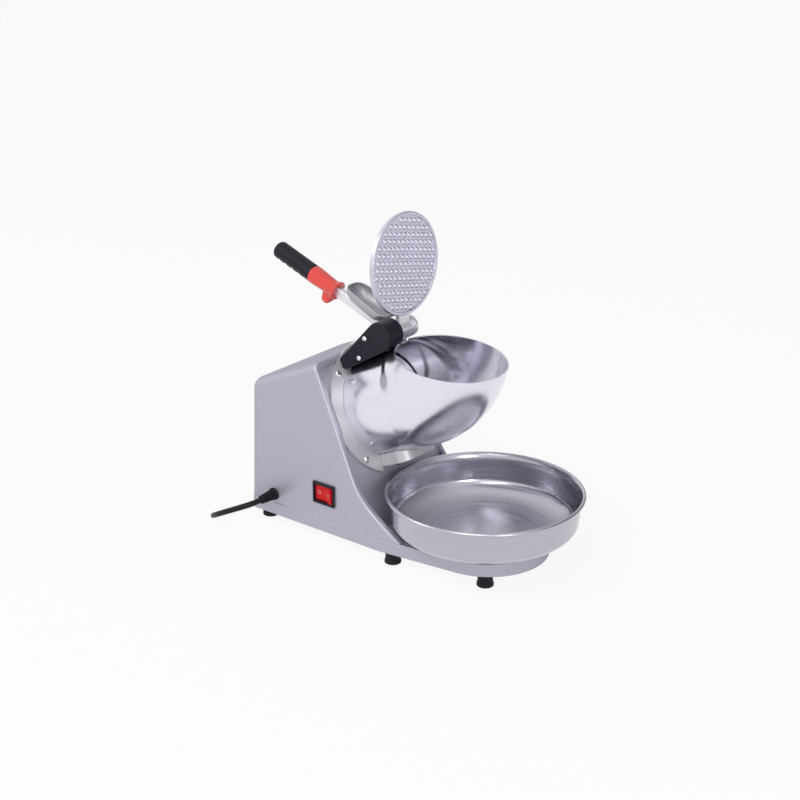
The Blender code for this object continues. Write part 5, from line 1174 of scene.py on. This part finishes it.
def make_press_plate():
    place = (PLATE_FRAME @ Matrix.Translation((0.0, -PLATE_OFFSET, PLATE_DISTANCE))
             @ Matrix.Rotation(math.pi / 2, 4, "X"))
    front = PLATE_THICKNESS / 2
    floor = front - PLATE_RECESS
    inner = PLATE_RADIUS - PLATE_RIM
    corners = [(0.0, floor), (inner, floor), (inner, front), (PLATE_RADIUS, front), (PLATE_RADIUS, -front),
               (0.0, -front)]
    plate = turned("plate_disc", rounded(corners, [0, 0.0006, 0.0006, 0.0011, 0.0011, 0], 5), place, 144)
    show(plate, STUD_METAL, "press", "press_plate")
    bm = bmesh.new()
    reach = int(inner / STUD_PITCH) + 1
    turn = Matrix.Rotation(STUD_TURN, 3, "Z")
    square = ((-1, -1), (1, -1), (1, 1), (-1, 1))
    levels = ((STUD_WIDTH / 2, floor - 0.0002), (STUD_TIP / 2, floor + STUD_HEIGHT - 0.0002))
    for i in range(-reach, reach + 1):
        for j in range(-reach, reach + 1):
            centre = turn @ Vector((i * STUD_PITCH, j * STUD_PITCH, 0.0))
            if centre.length > inner - STUD_WIDTH * 0.3:
                continue
            skin(bm, [[place @ (centre + turn @ Vector((x * half, y * half, z))) for x, y in square]
                      for half, z in levels])
    studs = as_object("plate_stud_field", bm)
    round_edges(studs, 0.0008, 4, angle=math.radians(25))
    show(studs, STUD_METAL, "press")


# Rocker switch

def switch_block(name, low, high, length, width):
    """A block round the switch's middle, from low to high along X."""
    return box(name, (low, -length / 2, -width / 2), (high, length / 2, width / 2), SWITCH_FRAME)


def rocker_height(share):
    """Height of the rocker's dished face at a share of its half length."""
    return ROCKER_CREST - ROCKER_DISH * (1 - share * share)


def make_switch():
    bezel = switch_block("bezel_frame", -GAP - SWITCH_BEZEL, -GAP, SWITCH_LENGTH, SWITCH_WIDTH)
    round_edges(bezel, 0.0008, 4)
    body = switch_block("switch_body", -GAP - 0.0005, SWITCH_BODY_DEPTH, SWITCH_BODY_LENGTH,
                        SWITCH_BODY_WIDTH)
    cut(bezel, body, operation="UNION")
    well = switch_block("switch_well", -0.01, SWITCH_WELL_DEPTH, ROCKER_LENGTH + 2 * ROCKER_END_ROOM,
                        ROCKER_WIDTH + 2 * ROCKER_SIDE_ROOM)
    cut(bezel, well)
    show(bezel, BLACK_PLASTIC, "root", "switch_bezel")
    half = ROCKER_LENGTH / 2
    corners = [(share * half, rocker_height(share)) for share in (-1 + k / 12 for k in range(25))]
    corners += [(half, -0.0008), (0.0, -0.0045), (-half, -0.0008)]
    outward = Matrix(((0, -1, 0, 0), (1, 0, 0, 0), (0, 0, 1, 0), (0, 0, 0, 1)))
    rocking = (SWITCH_FRAME @ Matrix.Translation((ROCKER_PIVOT, 0.0, 0.0))
               @ Matrix.Rotation(-ROCKER_TILT, 4, "Z") @ outward)
    rocker = prism("rocker_cap", corners, -ROCKER_WIDTH / 2, ROCKER_WIDTH / 2, rocking)
    round_edges(rocker, 0.0005)
    show(rocker, ROCKER_RED, "rocker", "switch_rocker")
    make_marks(rocking, half)


def make_marks(rocking, half):
    """The usual bar and ring on the two ends of a mains rocker."""
    def on_face(share):
        slope = 2 * ROCKER_DISH * share / half
        return (rocking @ Matrix.Translation((share * half, rocker_height(share), 0.0))
                @ Matrix.Rotation(math.atan(slope), 4, "Z") @ Matrix.Rotation(-math.pi / 2, 4, "X"))
    inner = MARK_RADIUS - MARK_LINE
    ring = turned("rocker_marks", [(inner, MARK_RISE), (MARK_RADIUS, MARK_RISE), (MARK_RADIUS, -MARK_SINK),
                                   (inner, -MARK_SINK)], on_face(MARK_PLACE), 40, closed=True)
    bar = slab("bar_mark", 0.0003, (-MARK_RADIUS, MARK_RADIUS), (-MARK_SINK, MARK_RISE),
               on_face(-MARK_PLACE))
    cut(ring, bar, operation="UNION")
    show(ring, WHITE_PRINT, "rocker")


# Bowl

def make_bowl():
    low = DECK_TOP + GAP
    roll = BOWL_RIM_ROLL
    rim = BOWL_RIM_RADIUS - roll
    neck = BOWL_NECK_RADIUS
    outer = []
    for k in range(17):
        angle = math.radians(115 - 14 * k)
        outer.append((rim + roll * math.cos(angle), BOWL_RIM_HEIGHT - roll + roll * math.sin(angle)))
    outer += [(neck + 0.0005, BOWL_RIM_HEIGHT - 0.0062), (neck, BOWL_RIM_HEIGHT - 0.012)]
    outer += bowl_wall(BOWL_WALL_RADIUS, low) + [(0.0, low)]
    inner = [(0.0, low + BOWL_WALL)] + bowl_wall(BOWL_WALL_RADIUS - BOWL_WALL, low + BOWL_WALL)[::-1]
    inner += [(neck - BOWL_WALL, BOWL_RIM_HEIGHT - 0.012),
              (neck - BOWL_WALL + 0.0003, BOWL_RIM_HEIGHT - 0.0050),
              (rim - roll * 0.9, BOWL_RIM_HEIGHT - roll * 0.6)]
    bowl = turned("bowl_shell", inner + outer, Matrix.Translation(at(0.0, BOWL_CENTRE, 0.0)), 192)
    show(bowl, STAINLESS, "bowl", "bowl", angle=math.radians(50))


def bowl_wall(radius, low):
    """Quarter round from the wall down to the seat."""
    return [(BOWL_SEAT_RADIUS + (radius - BOWL_SEAT_RADIUS) * math.cos(angle),
             BOWL_SHOULDER_HEIGHT - (BOWL_SHOULDER_HEIGHT - low) * math.sin(angle))
            for angle in quarter_turn(20)]


# Finishes of the CAD nodes that stay

def dress_nodes():
    finishes = {
        SILVER_PAINT: ("front_panel", "motor_cradle"),
        STEEL: ("bottom_plate", "hinge_pin", "blade_disc", "blade_a", "blade_b", "disc_nut",
                "disc_spacer", "motor_shaft", "front_bearing", "rear_bearing"),
        CAST_ALUMINIUM: ("motor_front_cap", "motor_rear_cap"),
        MOTOR_STEEL: ("armature", "motor_shell"),
        BLACK_PLASTIC: ("safety_switch", "cooling_fan", "run_capacitor"),
        BLACK_RUBBER: ("cord_tie",),
    }
    for material, names in finishes.items():
        for name in names:
            for slot in NODES[name].material_slots:
                slot.material = material


# Floor, backdrop and lights

def seen_directly(tree, *kinds):
    """1 for rays from the camera, through glass, and of the other kinds that are named."""
    rays = add_node(tree, "LightPath").outputs
    total = rays["Is Camera Ray"]
    for kind in ("Is Transmission Ray", *kinds):
        total = add_node(tree, "Math", {0: total, 1: rays[kind]}, operation="MAXIMUM").outputs["Value"]
    return total


def make_floor():
    backdrop = bpy.data.materials.new("pale_floor")
    backdrop.use_nodes = True
    tree = backdrop.node_tree
    shader = tree.nodes["Principled BSDF"]
    shader.inputs["Base Color"].default_value = FLOOR_TONE
    shader.inputs["Roughness"].default_value = 0.9
    glow = add_node(tree, "Emission", {"Color": WHITE})
    share = add_node(tree, "Math", {0: seen_directly(tree, "Is Glossy Ray"), 1: FLOOR_WHITENESS},
                     operation="MULTIPLY")
    blend = add_node(tree, "MixShader", {"Fac": share.outputs["Value"], 1: shader.outputs["BSDF"],
                                         2: glow.outputs["Emission"]})
    tree.links.new(blend.outputs["Shader"], tree.nodes["Material Output"].inputs["Surface"])
    floor = slab("floor", FLOOR_REACH, (-FLOOR_REACH, FLOOR_REACH), (-0.02, 0.0))
    floor.data.materials.append(backdrop)


def make_world():
    """White behind the object, also in its reflections; round it a studio with a dark screen."""
    world = bpy.data.worlds.new("studio")
    bpy.context.scene.world = world
    world.use_nodes = True
    tree = world.node_tree
    place = add_node(tree, "TexCoord")
    towards = add_node(tree, "VectorMath", {0: place.outputs["Generated"], 1: SCREEN_DIRECTION},
                       operation="DOT_PRODUCT")
    spread = add_node(tree, "MapRange", {"Value": towards.outputs["Value"], "From Min": -1.0})
    tones = ramp(tree, spread.outputs["Result"], STUDIO_TONES)
    studio = tree.nodes["Background"]
    studio.inputs["Strength"].default_value = WORLD_STRENGTH
    tree.links.new(tones, studio.inputs["Color"])
    paper = add_node(tree, "Mix", {"Factor": seen_directly(tree), "A": tones, "B": WHITE}, data_type="RGBA")
    backdrop = add_node(tree, "Background", {"Color": paper.outputs["Result"]})
    blend = add_node(tree, "MixShader", {"Fac": seen_directly(tree, "Is Glossy Ray"),
                                         1: studio.outputs["Background"],
                                         2: backdrop.outputs["Background"]})
    tree.links.new(blend.outputs["Shader"], tree.nodes["World Output"].inputs["Surface"])


def make_lights():
    for name, (place, size, power) in LIGHTS.items():
        data = bpy.data.lights.new(name, "AREA")
        data.shape = "DISK"
        data.size = size
        data.energy = power
        aim(link(bpy.data.objects.new(name, data)), place)


def main():
    make_camera()
    make_cord(make_plug())
    make_strain_relief()
    make_base()
    make_feet()
    make_housing()
    make_hopper()
    make_flange()
    make_hood()
    make_bracket()
    make_cover()
    make_press_arm()
    make_collar()
    make_grip()
    make_scoop()
    make_press_plate()
    make_switch()
    make_bowl()
    make_screws()
    dress_nodes()
    make_floor()
    make_world()
    make_lights()
    bpy.context.scene.view_settings.view_transform = "Standard"


main()
